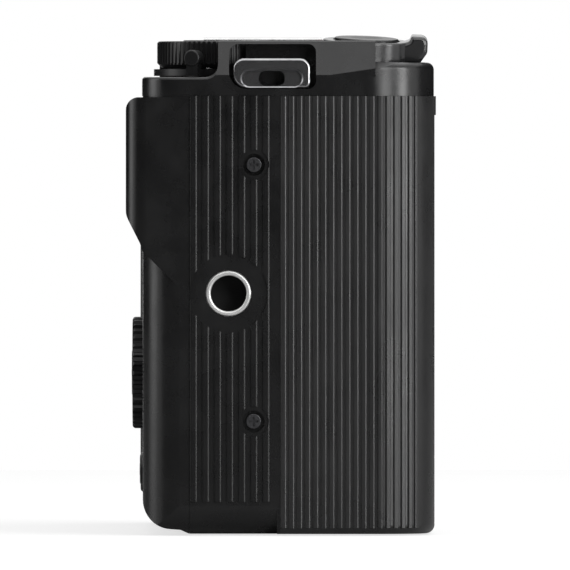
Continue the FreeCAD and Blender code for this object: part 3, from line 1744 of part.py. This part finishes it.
envelope = front_envelope()
pieces = {
    "front_shell": front_shell(envelope),
    "rear_shell": rear_shell(),
    "top_cover": top_cover(),
    "base_plate": base_plate(),
    "side_plate": side_plate(),
    "grip_cover": grip_cover(envelope),
    "cord_hole_cover": cord_hole_cover(envelope),
    "base_pads": base_pads(),
    "case_screws": case_screws(),
    "lens_mount_ring": lens_mount_ring(),
    "mount_screws": mount_screws(),
    "mount_baffle": mount_baffle(),
    "mount_contact_block": mount_contact_block(),
    "mount_contact_pins": mount_contact_pins(),
    "lens_lock_pin": lens_lock_pin(),
    "lens_release_button": front_button(release_spot, release_r, release_rise),
    "front_record_button": front_button(front_record_spot, front_record_r, front_record_rise),
    "tally_lamp": tally_lamp(),
    "chassis_frame": chassis_frame(),
    "shutter_frame": shutter_frame(),
    "sensor_frame": sensor_frame(),
    "image_sensor": image_sensor(),
    "sensor_glass": sensor_glass(),
    "main_board": main_board(),
    "battery_box": battery_box(),
    "battery": battery(),
    "memory_card": memory_card(),
    "battery_door": battery_door(),
    "battery_latch": battery_latch(),
    "hinge_pins": hinge_pins(),
    "mode_dial": mode_dial(),
    "dial_spindle": dial_spindle(),
    "power_lever": power_lever(),
    "zoom_lever": zoom_lever(),
    "shutter_button": shutter_button(),
    "record_button": top_button(record_spot, record_r),
    "stream_button": top_button(stream_spot, small_top_r),
    "function_button": top_button(function_spot, small_top_r),
    "menu_button": rear_button(menu_spot),
    "playback_button": rear_button(playback_spot),
    "delete_button": rear_button(delete_spot),
    "rocker_gimbal": rocker_gimbal(),
    "rocker_plate": rocker_plate(),
    "control_ring": control_ring(),
    "set_button": set_button(),
    "monitor_frame": monitor_frame(),
    "monitor_glass": monitor_glass(),
    "monitor_arm": monitor_arm(),
    "audio_port_cover": port_cover(audio_low_z, audio_top_z),
    "data_port_cover": port_cover(data_low_z, data_top_z),
    "port_sockets": port_sockets(),
    "shoe_rails": shoe_rails(),
    "shoe_contacts": shoe_contacts(),
    "mic_grille": mic_grille(),
    "strap_lugs": strap_lugs(),
    "side_tripod_socket": side_tripod_socket(),
    "base_tripod_socket": base_tripod_socket(),
}
for place in range(3):
    pieces["shutter_blade_%d" % (place + 1)] = shutter_blade(place)

os.makedirs("parts", exist_ok=True)
for name, shape in pieces.items():
    shape.exportStep("parts/%s.step" % name)
    print(name, len(shape.Solids), round(shape.Volume, 2), shape.isValid())
way = tower_axis()
print("tower axis", round(way.x, 5), round(way.y, 5), round(way.z, 5))
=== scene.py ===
import json
import math

import bmesh
import bpy
from mathutils import Matrix, Vector


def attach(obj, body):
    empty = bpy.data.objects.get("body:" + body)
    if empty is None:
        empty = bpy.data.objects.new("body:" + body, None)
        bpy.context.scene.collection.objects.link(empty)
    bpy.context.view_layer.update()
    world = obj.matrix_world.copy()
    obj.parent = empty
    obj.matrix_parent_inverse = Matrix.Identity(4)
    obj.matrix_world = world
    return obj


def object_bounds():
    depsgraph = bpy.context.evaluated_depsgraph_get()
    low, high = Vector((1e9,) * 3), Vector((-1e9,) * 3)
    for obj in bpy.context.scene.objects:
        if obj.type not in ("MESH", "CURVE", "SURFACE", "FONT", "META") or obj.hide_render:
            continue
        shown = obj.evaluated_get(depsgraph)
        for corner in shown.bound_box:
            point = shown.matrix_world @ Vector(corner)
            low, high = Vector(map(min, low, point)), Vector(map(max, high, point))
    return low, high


# Looks of a compact mirrorless camera body: finishes, printed marks, studio and camera.
# Lengths are metres in the part's own frame: +Z up, lens side at -Y, grip end at -X.

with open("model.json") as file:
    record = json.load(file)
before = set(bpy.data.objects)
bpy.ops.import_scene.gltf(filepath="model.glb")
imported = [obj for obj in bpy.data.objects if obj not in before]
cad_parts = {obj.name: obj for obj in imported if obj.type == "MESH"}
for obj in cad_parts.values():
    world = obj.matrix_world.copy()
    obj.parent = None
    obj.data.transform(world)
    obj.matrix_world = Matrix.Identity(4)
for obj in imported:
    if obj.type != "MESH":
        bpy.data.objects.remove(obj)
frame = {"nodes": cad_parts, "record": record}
cad_low, cad_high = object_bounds()
nodes = frame["nodes"]
MM = 0.001

# Node tree helpers

COAT_ROUGHNESS = 0.1
CELL_SMOOTHNESS = 0.6
# Sockets of the mix node when it mixes colours
MIX_FACTOR = 0
MIX_FIRST = 6
MIX_SECOND = 7
MIX_RESULT = 2


def link(tree, source, target):
    tree.links.new(source, target)


def new_material(name, color, roughness, metallic=0.0, specular=0.5, coat=0.0):
    """A principled material whose plain numbers sit on the shader's own sockets."""
    material = bpy.data.materials.new(name)
    material.use_nodes = True
    tree = material.node_tree
    shader = tree.nodes["Principled BSDF"]
    shader.inputs["Base Color"].default_value = (*color, 1)
    shader.inputs["Roughness"].default_value = roughness
    shader.inputs["Metallic"].default_value = metallic
    shader.inputs["Specular IOR Level"].default_value = specular
    shader.inputs["Coat Weight"].default_value = coat
    shader.inputs["Coat Roughness"].default_value = COAT_ROUGHNESS
    return material, tree, shader


def place_in_millimetres(tree, centre=(0, 0, 0), stretch=(1, 1, 1)):
    """Surface position in millimetres from a centre, stretched along each axis."""
    coordinates = tree.nodes.new("ShaderNodeTexCoord")
    mapping = tree.nodes.new("ShaderNodeMapping")
    mapping.inputs["Location"].default_value = [-c * s for c, s in zip(centre, stretch)]
    mapping.inputs["Scale"].default_value = [s / MM for s in stretch]
    link(tree, coordinates.outputs["Object"], mapping.inputs["Vector"])
    return mapping.outputs["Vector"]


def noise(tree, vector, scale, detail=3.0, roughness=0.55):
    node = tree.nodes.new("ShaderNodeTexNoise")
    node.inputs["Scale"].default_value = scale
    node.inputs["Detail"].default_value = detail
    node.inputs["Roughness"].default_value = roughness
    link(tree, vector, node.inputs["Vector"])
    return node.outputs["Fac"]


def cells(tree, vector, scale):
    node = tree.nodes.new("ShaderNodeTexVoronoi")
    node.feature = "SMOOTH_F1"
    node.inputs["Scale"].default_value = scale
    node.inputs["Smoothness"].default_value = CELL_SMOOTHNESS
    link(tree, vector, node.inputs["Vector"])
    return node.outputs["Distance"]


def spread(tree, value, low, high, source_low=0.3, source_high=0.7):
    node = tree.nodes.new("ShaderNodeMapRange")
    node.inputs["From Min"].default_value = source_low
    node.inputs["From Max"].default_value = source_high
    node.inputs["To Min"].default_value = low
    node.inputs["To Max"].default_value = high
    link(tree, value, node.inputs["Value"])
    return node.outputs["Result"]


def blend_colors(tree, value, first, second):
    node = tree.nodes.new("ShaderNodeMix")
    node.data_type = "RGBA"
    node.inputs[MIX_FIRST].default_value = (*first, 1)
    node.inputs[MIX_SECOND].default_value = (*second, 1)
    link(tree, value, node.inputs[MIX_FACTOR])
    return node.outputs[MIX_RESULT]


def tone(color, gain, lift=0.0):
    """A paler or darker tone of a color."""
    return [c * gain + lift for c in color]


def cloud_color(tree, shader, value, first, second):
    """Let the surface colour drift between two tones."""
    clouded = blend_colors(tree, spread(tree, value, 0, 1), first, second)
    link(tree, clouded, shader.inputs["Base Color"])


def vary_gloss(tree, shader, value, low, high):
    """Let the roughness drift between two levels."""
    link(tree, spread(tree, value, low, high), shader.inputs["Roughness"])


def distance_from_centre(tree, place):
    length = tree.nodes.new("ShaderNodeVectorMath")
    length.operation = "LENGTH"
    link(tree, place, length.inputs[0])
    return length.outputs["Value"]


def bump(tree, height, depth_mm, strength=1.0, normal=None):
    node = tree.nodes.new("ShaderNodeBump")
    node.inputs["Strength"].default_value = strength
    node.inputs["Distance"].default_value = depth_mm * MM
    link(tree, height, node.inputs["Height"])
    if normal is not None:
        link(tree, normal, node.inputs["Normal"])
    return node.outputs["Normal"]


# Finishes: depths are in millimetres, and a pattern's scale is per millimetre

# The fine noise of a moulding, against the size and depth of its grain
FINE_PER_GRAIN = 2.2
FINE_DEPTH_SHARE = 0.7
# A position squeezed flat along one axis, for a pattern that lies about that axis
ABOUT_X = (0, 1, 1)
ABOUT_Y = (1, 0, 1)
ABOUT_Z = (1, 1, 0)
BORE_MM = 2.62
RIM_BLEND_MM = 0.1
RIM_METALLIC = 0.5
# Painted shade: the near-black colour given to the inside of a socket's bore, standing for the shadow of
# its threads
PAINTED_BORE_SHADE = (0.012, 0.012, 0.012)
BORE_ROUGHNESS = 0.5


def moulded_plastic(name, shade, roughness, grain=0.10, depth=0.006, specular=0.3, tint=(1, 1, 1.04)):
    """Spark-textured moulding: fine even grain, faintly cloudy shade, slightly uneven gloss."""
    color = [shade * t for t in tint]
    material, tree, shader = new_material(name, color, roughness, specular=specular)
    place = place_in_millimetres(tree)
    broad = noise(tree, place, scale=0.09, detail=2)
    cloud_color(tree, shader, broad, color, tone(color, gain=1.25, lift=0.002))
    handled = noise(tree, place, scale=0.22, detail=4)
    vary_gloss(tree, shader, handled, low=roughness - 0.04, high=roughness + 0.05)
    pits = bump(tree, cells(tree, place, scale=1 / grain), depth)
    fine = noise(tree, place, scale=FINE_PER_GRAIN / grain, detail=2)
    pitted = bump(tree, fine, depth * FINE_DEPTH_SHARE, normal=pits)
    link(tree, pitted, shader.inputs["Normal"])
    return material


def ribbed_rubber(name, shade, roughness):
    """Soft grip rubber: dusty sheen, very fine grain, gloss rubbed up in patches."""
    color = [shade, shade, shade * 1.02]
    material, tree, shader = new_material(name, color, roughness, specular=0.55)
    shader.inputs["Sheen Weight"].default_value = 0.06
    shader.inputs["Sheen Roughness"].default_value = 0.5
    place = place_in_millimetres(tree)
    long_way = place_in_millimetres(tree, stretch=(1, 1, 0.15))
    dusty = noise(tree, long_way, scale=0.35, detail=5)
    cloud_color(tree, shader, dusty, color, tone(color, gain=1.35, lift=0.002))
    rubbed = noise(tree, place, scale=0.15, detail=3)
    vary_gloss(tree, shader, rubbed, low=roughness - 0.06, high=roughness + 0.06)
    fine = noise(tree, place, scale=14, detail=3)
    link(tree, bump(tree, fine, depth_mm=0.006), shader.inputs["Normal"])
    return material


def fine_metal(name, color, roughness, scale=9.0, depth=0.0015, uneven=0.08):
    """Machined or plated metal: a fine grain that shows in its gloss, and a little tarnish."""
    material, tree, shader = new_material(name, color, roughness, metallic=1.0)
    place = place_in_millimetres(tree)
    fine = noise(tree, place, scale=scale, detail=4)
    vary_gloss(tree, shader, fine, low=roughness - uneven, high=roughness + uneven)
    tarnish = noise(tree, place, scale=0.5, detail=4)
    cloud_color(tree, shader, tarnish, color, tone(color, gain=0.82))
    link(tree, bump(tree, fine, depth), shader.inputs["Normal"])
    return material


def turned_metal(name, color, roughness, centre):
    """Face-turned metal: fine rings about an axis along Y through the centre."""
    material, tree, shader = new_material(name, color, roughness, metallic=1.0)
    place = place_in_millimetres(tree, centre=centre, stretch=ABOUT_Y)
    rings = tree.nodes.new("ShaderNodeTexNoise")
    rings.noise_dimensions = "1D"
    rings.inputs["Scale"].default_value = 14.0
    rings.inputs["Detail"].default_value = 3.0
    link(tree, distance_from_centre(tree, place), rings.inputs["W"])
    vary_gloss(tree, shader, rings.outputs["Fac"], low=roughness - 0.06, high=roughness + 0.1)
    link(tree, bump(tree, rings.outputs["Fac"], depth_mm=0.004), shader.inputs["Normal"])
    smears = noise(tree, place_in_millimetres(tree), scale=0.3, detail=4)
    cloud_color(tree, shader, smears, color, tone(color, gain=0.86))
    return material


def threaded_insert(name, color, roughness, centre, axis):
    """Satin plated insert: bright and a little worn at its rim, with painted shade colouring the inside
    of its bore near black.
    """
    material, tree, shader = new_material(name, color, roughness, metallic=RIM_METALLIC)
    distance = distance_from_centre(tree, place_in_millimetres(tree, centre=centre, stretch=axis))
    # Mask of the bore, where the painted shade takes the place of the plated colour
    inside = spread(tree, distance, 1, 0, BORE_MM, BORE_MM + RIM_BLEND_MM)
    worn = noise(tree, place_in_millimetres(tree), scale=0.8, detail=4)
    rim = blend_colors(tree, spread(tree, worn, 0, 1), color, tone(color, gain=0.85))
    # Painted shade: inside the bore the colour turns near black, as the shadow of its threads
    shade = tree.nodes.new("ShaderNodeMix")
    shade.data_type = "RGBA"
    link(tree, inside, shade.inputs[MIX_FACTOR])
    link(tree, rim, shade.inputs[MIX_FIRST])
    shade.inputs[MIX_SECOND].default_value = (*PAINTED_BORE_SHADE, 1)
    link(tree, shade.outputs[MIX_RESULT], shader.inputs["Base Color"])
    gloss = spread(tree, distance, BORE_ROUGHNESS, roughness, BORE_MM, BORE_MM + RIM_BLEND_MM)
    link(tree, gloss, shader.inputs["Roughness"])
    return material


def display_glass(name):
    """Gloss black cover glass with faint finger smears in its reflection."""
    material, tree, shader = new_material(name, (0.004, 0.0042, 0.005), 0.06)
    tall = place_in_millimetres(tree, stretch=(1, 1, 0.6))
    smears = noise(tree, tall, scale=0.12, detail=5)
    vary_gloss(tree, shader, smears, low=0.04, high=0.13)
    return material


def sensor_silicon(name):
    """Image sensor: fine cell pattern with the green and rose sheen of its filter stack."""
    material, tree, shader = new_material(name, (0.05, 0.09, 0.085), 0.18, metallic=0.6, coat=0.6)
    slant = tree.nodes.new("ShaderNodeLayerWeight")
    slant.inputs["Blend"].default_value = 0.35
    green = (0.05, 0.10, 0.09)
    rose = (0.16, 0.05, 0.12)
    sheen = blend_colors(tree, slant.outputs["Facing"], green, rose)
    link(tree, sheen, shader.inputs["Base Color"])
    weave = tree.nodes.new("ShaderNodeTexBrick")
    weave.inputs["Scale"].default_value = 12.0
    link(tree, place_in_millimetres(tree, stretch=ABOUT_Y), weave.inputs["Vector"])
    raised = bump(tree, weave.outputs["Fac"], depth_mm=0.002, strength=0.3)
    link(tree, raised, shader.inputs["Normal"])
    return material


def filter_glass(name):
    """Clear cut filter: faintly green, nearly mirror smooth, with a trace of dust."""
    material, tree, shader = new_material(name, (0.82, 0.93, 0.90), 0.03)
    shader.inputs["Transmission Weight"].default_value = 0.92
    shader.inputs["IOR"].default_value = 1.5
    dust = noise(tree, place_in_millimetres(tree), scale=0.6, detail=4)
    vary_gloss(tree, shader, dust, low=0.02, high=0.07)
    return material


def circuit_board(name):
    """Green board with a pattern of tracks under its lacquer."""
    material, tree, shader = new_material(name, (0.01, 0.07, 0.03), 0.4, coat=0.3)
    tracks = tree.nodes.new("ShaderNodeTexBrick")
    tracks.inputs["Scale"].default_value = 1.2
    tracks.inputs["Color1"].default_value = (0.008, 0.06, 0.025, 1)
    tracks.inputs["Color2"].default_value = (0.012, 0.09, 0.04, 1)
    tracks.inputs["Mortar"].default_value = (0.02, 0.13, 0.06, 1)
    link(tree, place_in_millimetres(tree, stretch=ABOUT_Y), tracks.inputs["Vector"])
    link(tree, tracks.outputs["Color"], shader.inputs["Base Color"])
    return material


lens_centre = (0, 0, 34.0)
side_socket_centre = (0, 0.05, 35.65)
base_socket_centre = (0, 0, 0)
insert_color = (0.80, 0.80, 0.79)
finishes = {
    "case_plastic": moulded_plastic("case_plastic", shade=0.0055, roughness=0.27, depth=0.002,
                                    specular=0.45),
    "top_plastic": moulded_plastic("top_plastic", shade=0.0065, roughness=0.26, grain=0.08,
                                   depth=0.0015, specular=0.5),
    "grip_rubber": ribbed_rubber("grip_rubber", shade=0.012, roughness=0.31),
    "button_plastic": moulded_plastic("button_plastic", shade=0.010, roughness=0.30, grain=0.06,
                                      depth=0.002),
    "lever_plastic": moulded_plastic("lever_plastic", shade=0.012, roughness=0.20, grain=0.06,
                                     depth=0.001, specular=0.8),
    "mount_steel": turned_metal("mount_steel", (0.56, 0.56, 0.55), roughness=0.26,
                                centre=lens_centre),
    "steel": fine_metal("steel", (0.60, 0.60, 0.60), roughness=0.27),
    "side_socket": threaded_insert("side_socket", insert_color, roughness=0.3,
                                   centre=side_socket_centre, axis=ABOUT_X),
    "base_socket": threaded_insert("base_socket", insert_color, roughness=0.3,
                                   centre=base_socket_centre, axis=ABOUT_Z),
    "screw_steel": fine_metal("screw_steel", (0.10, 0.10, 0.105), roughness=0.36),
    "lug_metal": fine_metal("lug_metal", (0.42, 0.42, 0.43), roughness=0.22, scale=20.0,
                            depth=0.0001, uneven=0.03),
    "black_metal": moulded_plastic("black_metal", shade=0.006, roughness=0.48, grain=0.05,
                                   depth=0.002),
    "alloy": fine_metal("alloy", (0.40, 0.40, 0.41), roughness=0.45, scale=3.0, depth=0.01),
    "gold": fine_metal("gold", (0.83, 0.60, 0.25), roughness=0.24),
    "glass": filter_glass("glass"),
    "screen_glass": display_glass("screen_glass"),
    "sensor": sensor_silicon("sensor"),
    "board": circuit_board("board"),
    "battery_plastic": moulded_plastic("battery_plastic", shade=0.035, roughness=0.5),
    "lamp": moulded_plastic("lamp", shade=0.05, roughness=0.12, grain=0.2, depth=0.001,
                            tint=(1, 0.25, 0.2)),
}

# The record's slots name the finishes, but the five pieces below take another one
finish_of = {part["node"]: part["material_slot"] for part in frame["record"]["subparts"]}
finish_of["side_tripod_socket"] = "side_socket"
finish_of["base_tripod_socket"] = "base_socket"
finish_of["zoom_lever"] = "lever_plastic"
finish_of["case_screws"] = "screw_steel"
finish_of["record_button"] = "button_plastic"
for node_name, node in nodes.items():
    node.data.materials.clear()
    node.data.materials.append(finishes[finish_of[node_name]])

# Printed marks: thin inked shapes on the surfaces

# Half the thickness of a printed mark, which rests on its surface
INK_HALF = 0.02 * MM
# Height of a capital letter over the size of its font
CAPITAL_SHARE = 0.7
record_ink = new_material("record_ink", (0.40, 0.024, 0.02), roughness=0.4)[0]
ink_color = (0.62, 0.62, 0.60)
worn_ink_color = (0.5, 0.5, 0.49)
white_ink, ink_tree, ink_shader = new_material("white_ink", ink_color, roughness=0.5, specular=0.3)
ink_wear = noise(ink_tree, place_in_millimetres(ink_tree), scale=3.0, detail=4)
cloud_color(ink_tree, ink_shader, ink_wear, ink_color, worn_ink_color)

# Directions of a mark as it is read: along its line, up its letters, and out of the surface
ON_TOP = (Vector((1, 0, 0)), Vector((0, 1, 0)), Vector((0, 0, 1)))
ON_REAR = (Vector((-1, 0, 0)), Vector((0, 0, 1)), Vector((0, 1, 0)))
ON_FRONT = (Vector((1, 0, 0)), Vector((0, 0, 1)), Vector((0, -1, 0)))
ON_BASE = (Vector((-1, 0, 0)), Vector((0, 1, 0)), Vector((0, 0, -1)))


def facing(plane, spot_mm, turn=0.0):
    """The placement that lays a mark on its surface at a spot in millimetres, turned about out."""
    along, up, out = plane
    turned = Matrix.Rotation(turn, 3, out)
    columns = (turned @ along, turned @ up, out)
    placed = Matrix([[c[i] for c in columns] for i in range(3)]).to_4x4()
    placed.translation = Vector(spot_mm) * MM + out * INK_HALF
    return placed


def finish_mark(piece, plane, spot_mm, body, turn=0.0):
    piece.matrix_world = facing(plane, spot_mm, turn)
    piece.data.materials.append(white_ink)
    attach(piece, body)
    return piece


def words(name, text, height_mm, plane, spot_mm, body, turn=0.0):
    curve = bpy.data.curves.new(name, "FONT")
    curve.body = text
    curve.size = height_mm * MM / CAPITAL_SHARE
    curve.align_x = "CENTER"
    curve.align_y = "CENTER"
    curve.extrude = INK_HALF
    piece = bpy.data.objects.new(name, curve)
    bpy.context.scene.collection.objects.link(piece)
    return finish_mark(piece, plane, spot_mm, body, turn)


def sign(name, outlines, plane, spot_mm, body, turn=0.0):
    """Filled outlines, each a loop of (u, v) in millimetres, drawn out to the ink's thickness."""
    mesh = bpy.data.meshes.new(name)
    work = bmesh.new()
    for loop in outlines:
        low = [work.verts.new((u * MM, v * MM, -INK_HALF)) for u, v in loop]
        face = work.faces.new(low)
        drawn = bmesh.ops.extrude_face_region(work, geom=[face])
        lifted = [v for v in drawn["geom"] if isinstance(v, bmesh.types.BMVert)]
        bmesh.ops.translate(work, verts=lifted, vec=(0, 0, 2 * INK_HALF))
    bmesh.ops.recalc_face_normals(work, faces=work.faces)
    work.to_mesh(mesh)
    work.free()
    piece = bpy.data.objects.new(name, mesh)
    bpy.context.scene.collection.objects.link(piece)
    return finish_mark(piece, plane, spot_mm, body, turn)


def bar(u0, u1, v0, v1):
    return [(u0, v0), (u1, v0), (u1, v1), (u0, v1)]


def disc(u, v, r, count=32):
    return [(u + r * math.cos(2 * math.pi * i / count), v + r * math.sin(2 * math.pi * i / count))
            for i in range(count)]


def hoop(u, v, r, width, count=40):
    """A ring as a row of quads, so that its middle stays open."""
    loops = []
    for i in range(count):
        a, b = (2 * math.pi * k / count for k in (i, i + 1))
        corners = ((r, a), (r, b), (r - width, b), (r - width, a))
        loops.append([(u + radius * math.cos(t), v + radius * math.sin(t)) for radius, t in corners])
    return loops


def triangle(u, v, half):
    """A filled arrow head that points along +u."""
    return [(u - half * 0.8, v - half), (u + half, v), (u - half * 0.8, v + half)]


def cross(half, width):
    """Two slanted strokes that meet in the middle."""
    a = width / 2
    return [[(-half, -half + a), (-half + a, -half), (half, half - a), (half - a, half)],
            [(-half, half - a), (half - a, -half), (half, -half + a), (-half + a, half)]]


def box_frame(half_u, half_v, width):
    """The outline of a rectangle as four strokes."""
    return [bar(-half_u, half_u, half_v - width, half_v), bar(-half_u, half_u, -half_v, -half_v + width),
            bar(-half_u, -half_u + width, -half_v + width, half_v - width),
            bar(half_u - width, half_u, -half_v + width, half_v - width)]


# Outlines of the signs, in millimetres
stills_sign = box_frame(1.1, 0.8, width=0.18) + hoop(0, 0, r=0.5, width=0.18)
stills_sign += [bar(-0.4, 0.4, 0.86, 1.06)]
film_sign = box_frame(1.1, 0.9, width=0.16)
film_sign += [bar(u - 0.12, u + 0.12, v - 0.1, v + 0.1) for u in (-0.6, 0, 0.6) for v in (-0.52, 0.52)]
fast_sign = [triangle(-0.5, 0, half=0.6), triangle(0.6, 0, half=0.6)]
index_line = [bar(-0.9, 0.9, -0.15, 0.15)]
record_dot = [disc(0, 0, r=1.7)]
focal_plane = hoop(0, 0, r=1.3, width=0.2) + [bar(-2.3, 2.3, -0.1, 0.1)]
stream_rings = hoop(0, 0, r=0.9, width=0.2) + [disc(0, 0, r=0.35)]
menu_lines = [bar(-1.0, 1.0, v - 0.13, v + 0.13) for v in (-0.6, 0, 0.6)]
play_arrow = [triangle(0, 0, half=0.85)]
delete_cross = cross(0.8, width=0.4)
set_dot = [disc(0, 0, r=0.4)]
mount_dot = [disc(0, 0, r=0.8)]
latch_arrow = [triangle(0, 0, half=1.0)]

# Where the marks lie, in millimetres
dial_x = -58.5
dial_y = 1.8
dial_face_z = 72.8
dial_mark_r = 5.9
top_z = 73.1
deck_z = 67.7
rear_key_y = 13.25
index_spot = (-46.6, dial_y, top_z)
power_on_spot = (-61.6, 12.0, deck_z)
power_off_spot = (-68.8, -3.2, top_z)
record_spot = (-44.5, -14.5, 73.3)
focal_plane_spot = (16.0, 1.5, top_z)
function_spot = (-35.6, 4.5, top_z)
stream_spot = (-35.6, -3.5, top_z)
menu_spot = (-38.2, rear_key_y, 52.0)
playback_spot = (-62.0, rear_key_y, 9.5)
delete_spot = (-42.5, rear_key_y, 9.5)
set_spot = (-52.5, 14.5, 23.75)
mount_spot = (0, -18.5, 63.1)
latch_spot = (-55.2, -8.0, 0.1)
# Heights of the letters, in millimetres
dial_letter = 2.0
power_letter = 1.1
function_letter = 1.6

dial_marks = ["1", "2", "3", stills_sign, film_sign, fast_sign]
for i, mark in enumerate(dial_marks):
    angle = 2 * math.pi * i / len(dial_marks)
    out_x = dial_mark_r * math.cos(angle)
    out_y = dial_mark_r * math.sin(angle)
    spot = (dial_x + out_x, dial_y + out_y, dial_face_z)
    turn = angle - math.pi / 2
    if isinstance(mark, str):
        words("dial_numeral_%d" % i, mark, dial_letter, ON_TOP, spot, "mode_dial", turn)
    else:
        sign("dial_sign_%d" % i, mark, ON_TOP, spot, "mode_dial", turn)
sign("dial_index", index_line, ON_TOP, index_spot, "camera_body")
words("power_on", "ON", power_letter, ON_TOP, power_on_spot, "camera_body")
words("power_off", "OFF", power_letter, ON_TOP, power_off_spot, "camera_body", math.pi / 2)
record_mark = sign("record_mark", record_dot, ON_TOP, record_spot, "record_button")
record_mark.data.materials[0] = record_ink
sign("focal_plane", focal_plane, ON_TOP, focal_plane_spot, "camera_body")
words("function_numeral", "1", function_letter, ON_TOP, function_spot, "camera_body")
sign("stream_sign", stream_rings, ON_TOP, stream_spot, "camera_body")
sign("menu_sign", menu_lines, ON_REAR, menu_spot, "menu_button")
sign("playback_sign", play_arrow, ON_REAR, playback_spot, "playback_button")
sign("delete_sign", delete_cross, ON_REAR, delete_spot, "delete_button")
sign("set_sign", set_dot, ON_REAR, set_spot, "set_button")
sign("mount_index", mount_dot, ON_FRONT, mount_spot, "camera_body")
sign("latch_arrow", latch_arrow, ON_BASE, latch_spot, "battery_door", math.pi)

# Studio: floor, lights, camera

scene = bpy.context.scene
floor_z = cad_low.z
FLOOR_REACH = 0.6
FLOOR_SHADE = (0.5, 0.5, 0.5)
FLOOR_LIFT = 0.7
WORLD_LIGHT = 0.26
WORLD_SEEN = 1.0
flag_black = new_material("flag_black", (0, 0, 0), roughness=1.0, specular=0.0)[0]


def aim_at(piece, place, target):
    piece.location = place
    piece.rotation_mode = "QUATERNION"
    piece.rotation_quaternion = (Vector(target) - Vector(place)).to_track_quat("-Z", "Y")


def lamp(name, size, place, aim, watts):
    data = bpy.data.lights.new(name, "AREA")
    data.shape = "RECTANGLE"
    data.size, data.size_y = size
    data.energy = watts
    piece = bpy.data.objects.new(name, data)
    scene.collection.objects.link(piece)
    aim_at(piece, place, aim)


def plain_floor():
    """Pale floor that takes the object's shadow, lifted to white for the camera alone."""
    mesh = bpy.data.meshes.new("floor")
    outward = ((-1, -1), (1, -1), (1, 1), (-1, 1))
    corners = [(x * FLOOR_REACH, y * FLOOR_REACH, floor_z) for x, y in outward]
    mesh.from_pydata(corners, [], [(0, 1, 2, 3)])
    floor = bpy.data.objects.new("floor", mesh)
    scene.collection.objects.link(floor)
    material, tree, shader = new_material("floor_white", FLOOR_SHADE, 0.9, specular=0.0)
    path = tree.nodes.new("ShaderNodeLightPath")
    shader.inputs["Emission Color"].default_value = (1, 1, 1, 1)
    lift = spread(tree, path.outputs["Is Camera Ray"], 0.0, FLOOR_LIFT, 0, 1)
    link(tree, lift, shader.inputs["Emission Strength"])
    mesh.materials.append(material)


def pale_world():
    """White to the camera and in reflections, a plain grey level as light."""
    world = bpy.data.worlds.new("studio")
    scene.world = world
    world.use_nodes = True
    tree = world.node_tree
    tree.nodes.clear()
    path = tree.nodes.new("ShaderNodeLightPath")
    seen = path.outputs["Is Camera Ray"]
    for name in ("Is Glossy Ray", "Is Transmission Ray"):
        largest = tree.nodes.new("ShaderNodeMath")
        largest.operation = "MAXIMUM"
        link(tree, seen, largest.inputs[0])
        link(tree, path.outputs[name], largest.inputs[1])
        seen = largest.outputs["Value"]
    strength = tree.nodes.new("ShaderNodeMapRange")
    strength.inputs["To Min"].default_value = WORLD_LIGHT
    strength.inputs["To Max"].default_value = WORLD_SEEN
    link(tree, seen, strength.inputs["Value"])
    background = tree.nodes.new("ShaderNodeBackground")
    link(tree, strength.outputs["Result"], background.inputs["Strength"])
    background.inputs["Color"].default_value = (1, 1, 1, 1)
    output = tree.nodes.new("ShaderNodeOutputWorld")
    link(tree, background.outputs["Background"], output.inputs["Surface"])


def flag(name, size, place, aim):
    """A black card that shows only in reflections, as a studio uses to keep dark faces dark."""
    mesh = bpy.data.meshes.new(name)
    w, h = size[0] / 2, size[1] / 2
    mesh.from_pydata([(-w, -h, 0), (w, -h, 0), (w, h, 0), (-w, h, 0)], [], [(0, 1, 2, 3)])
    piece = bpy.data.objects.new(name, mesh)
    scene.collection.objects.link(piece)
    aim_at(piece, place, aim)
    mesh.materials.append(flag_black)
    piece.visible_camera = False
    piece.visible_diffuse = False
    piece.visible_shadow = False
    piece.visible_transmission = False


# The point near the body's middle that the lamps and cards face
middle = Vector((-0.0125, -0.008, 0.037))
plain_floor()
pale_world()
# Name, width and height, place
flags = (
    ("side_flag", (3.2, 1.5), (-1.3, 0.2, -0.10)),
    ("far_front_flag", (2.2, 2.0), (1.0, -1.0, 0.0)),
    ("far_rear_flag", (1.5, 2.0), (1.0, 1.0, 0.0)),
)
for name, size, place in flags:
    flag(name, size, place, middle)
# Name, width and height, place, watts
lamps = (
    ("front_softbox", (0.30, 1.0), (-0.88, -0.51, 0.06), 5.6),
    ("rear_softbox", (0.40, 1.2), (-0.10, 1.0, 0.10), 2.4),
    ("slim_softbox", (0.25, 0.8), (-0.5, -0.87, 0.10), 5.0),
    ("high_softbox", (1.3, 0.4), (-0.86, -0.10, 0.66), 1.5),
    ("top_softbox", (1.2, 1.2), (0.1, -0.2, 1.2), 5.0),
)
for name, size, place, watts in lamps:
    lamp(name, size, place, middle, watts)

# The camera looks along +X from the grip end, a little from above and far away
view_centre = Vector((-0.072, -0.0083, 0.0369))
view_width = 0.0844
camera_lens = 1400.0
sensor_width = 36.0
camera_rise = math.radians(0.35)
distance = view_width / sensor_width * camera_lens
camera_data = bpy.data.cameras.new("camera")
camera_data.lens = camera_lens
camera_data.sensor_width = sensor_width
camera_data.clip_end = 20.0
camera = bpy.data.objects.new("camera", camera_data)
scene.collection.objects.link(camera)
back = Vector((-math.cos(camera_rise), 0, math.sin(camera_rise)))
camera.location = view_centre + back * distance
camera.rotation_mode = "QUATERNION"
camera.rotation_quaternion = (-back).to_track_quat("-Z", "Y")
scene.camera = camera
scene.view_settings.view_transform = "Standard"
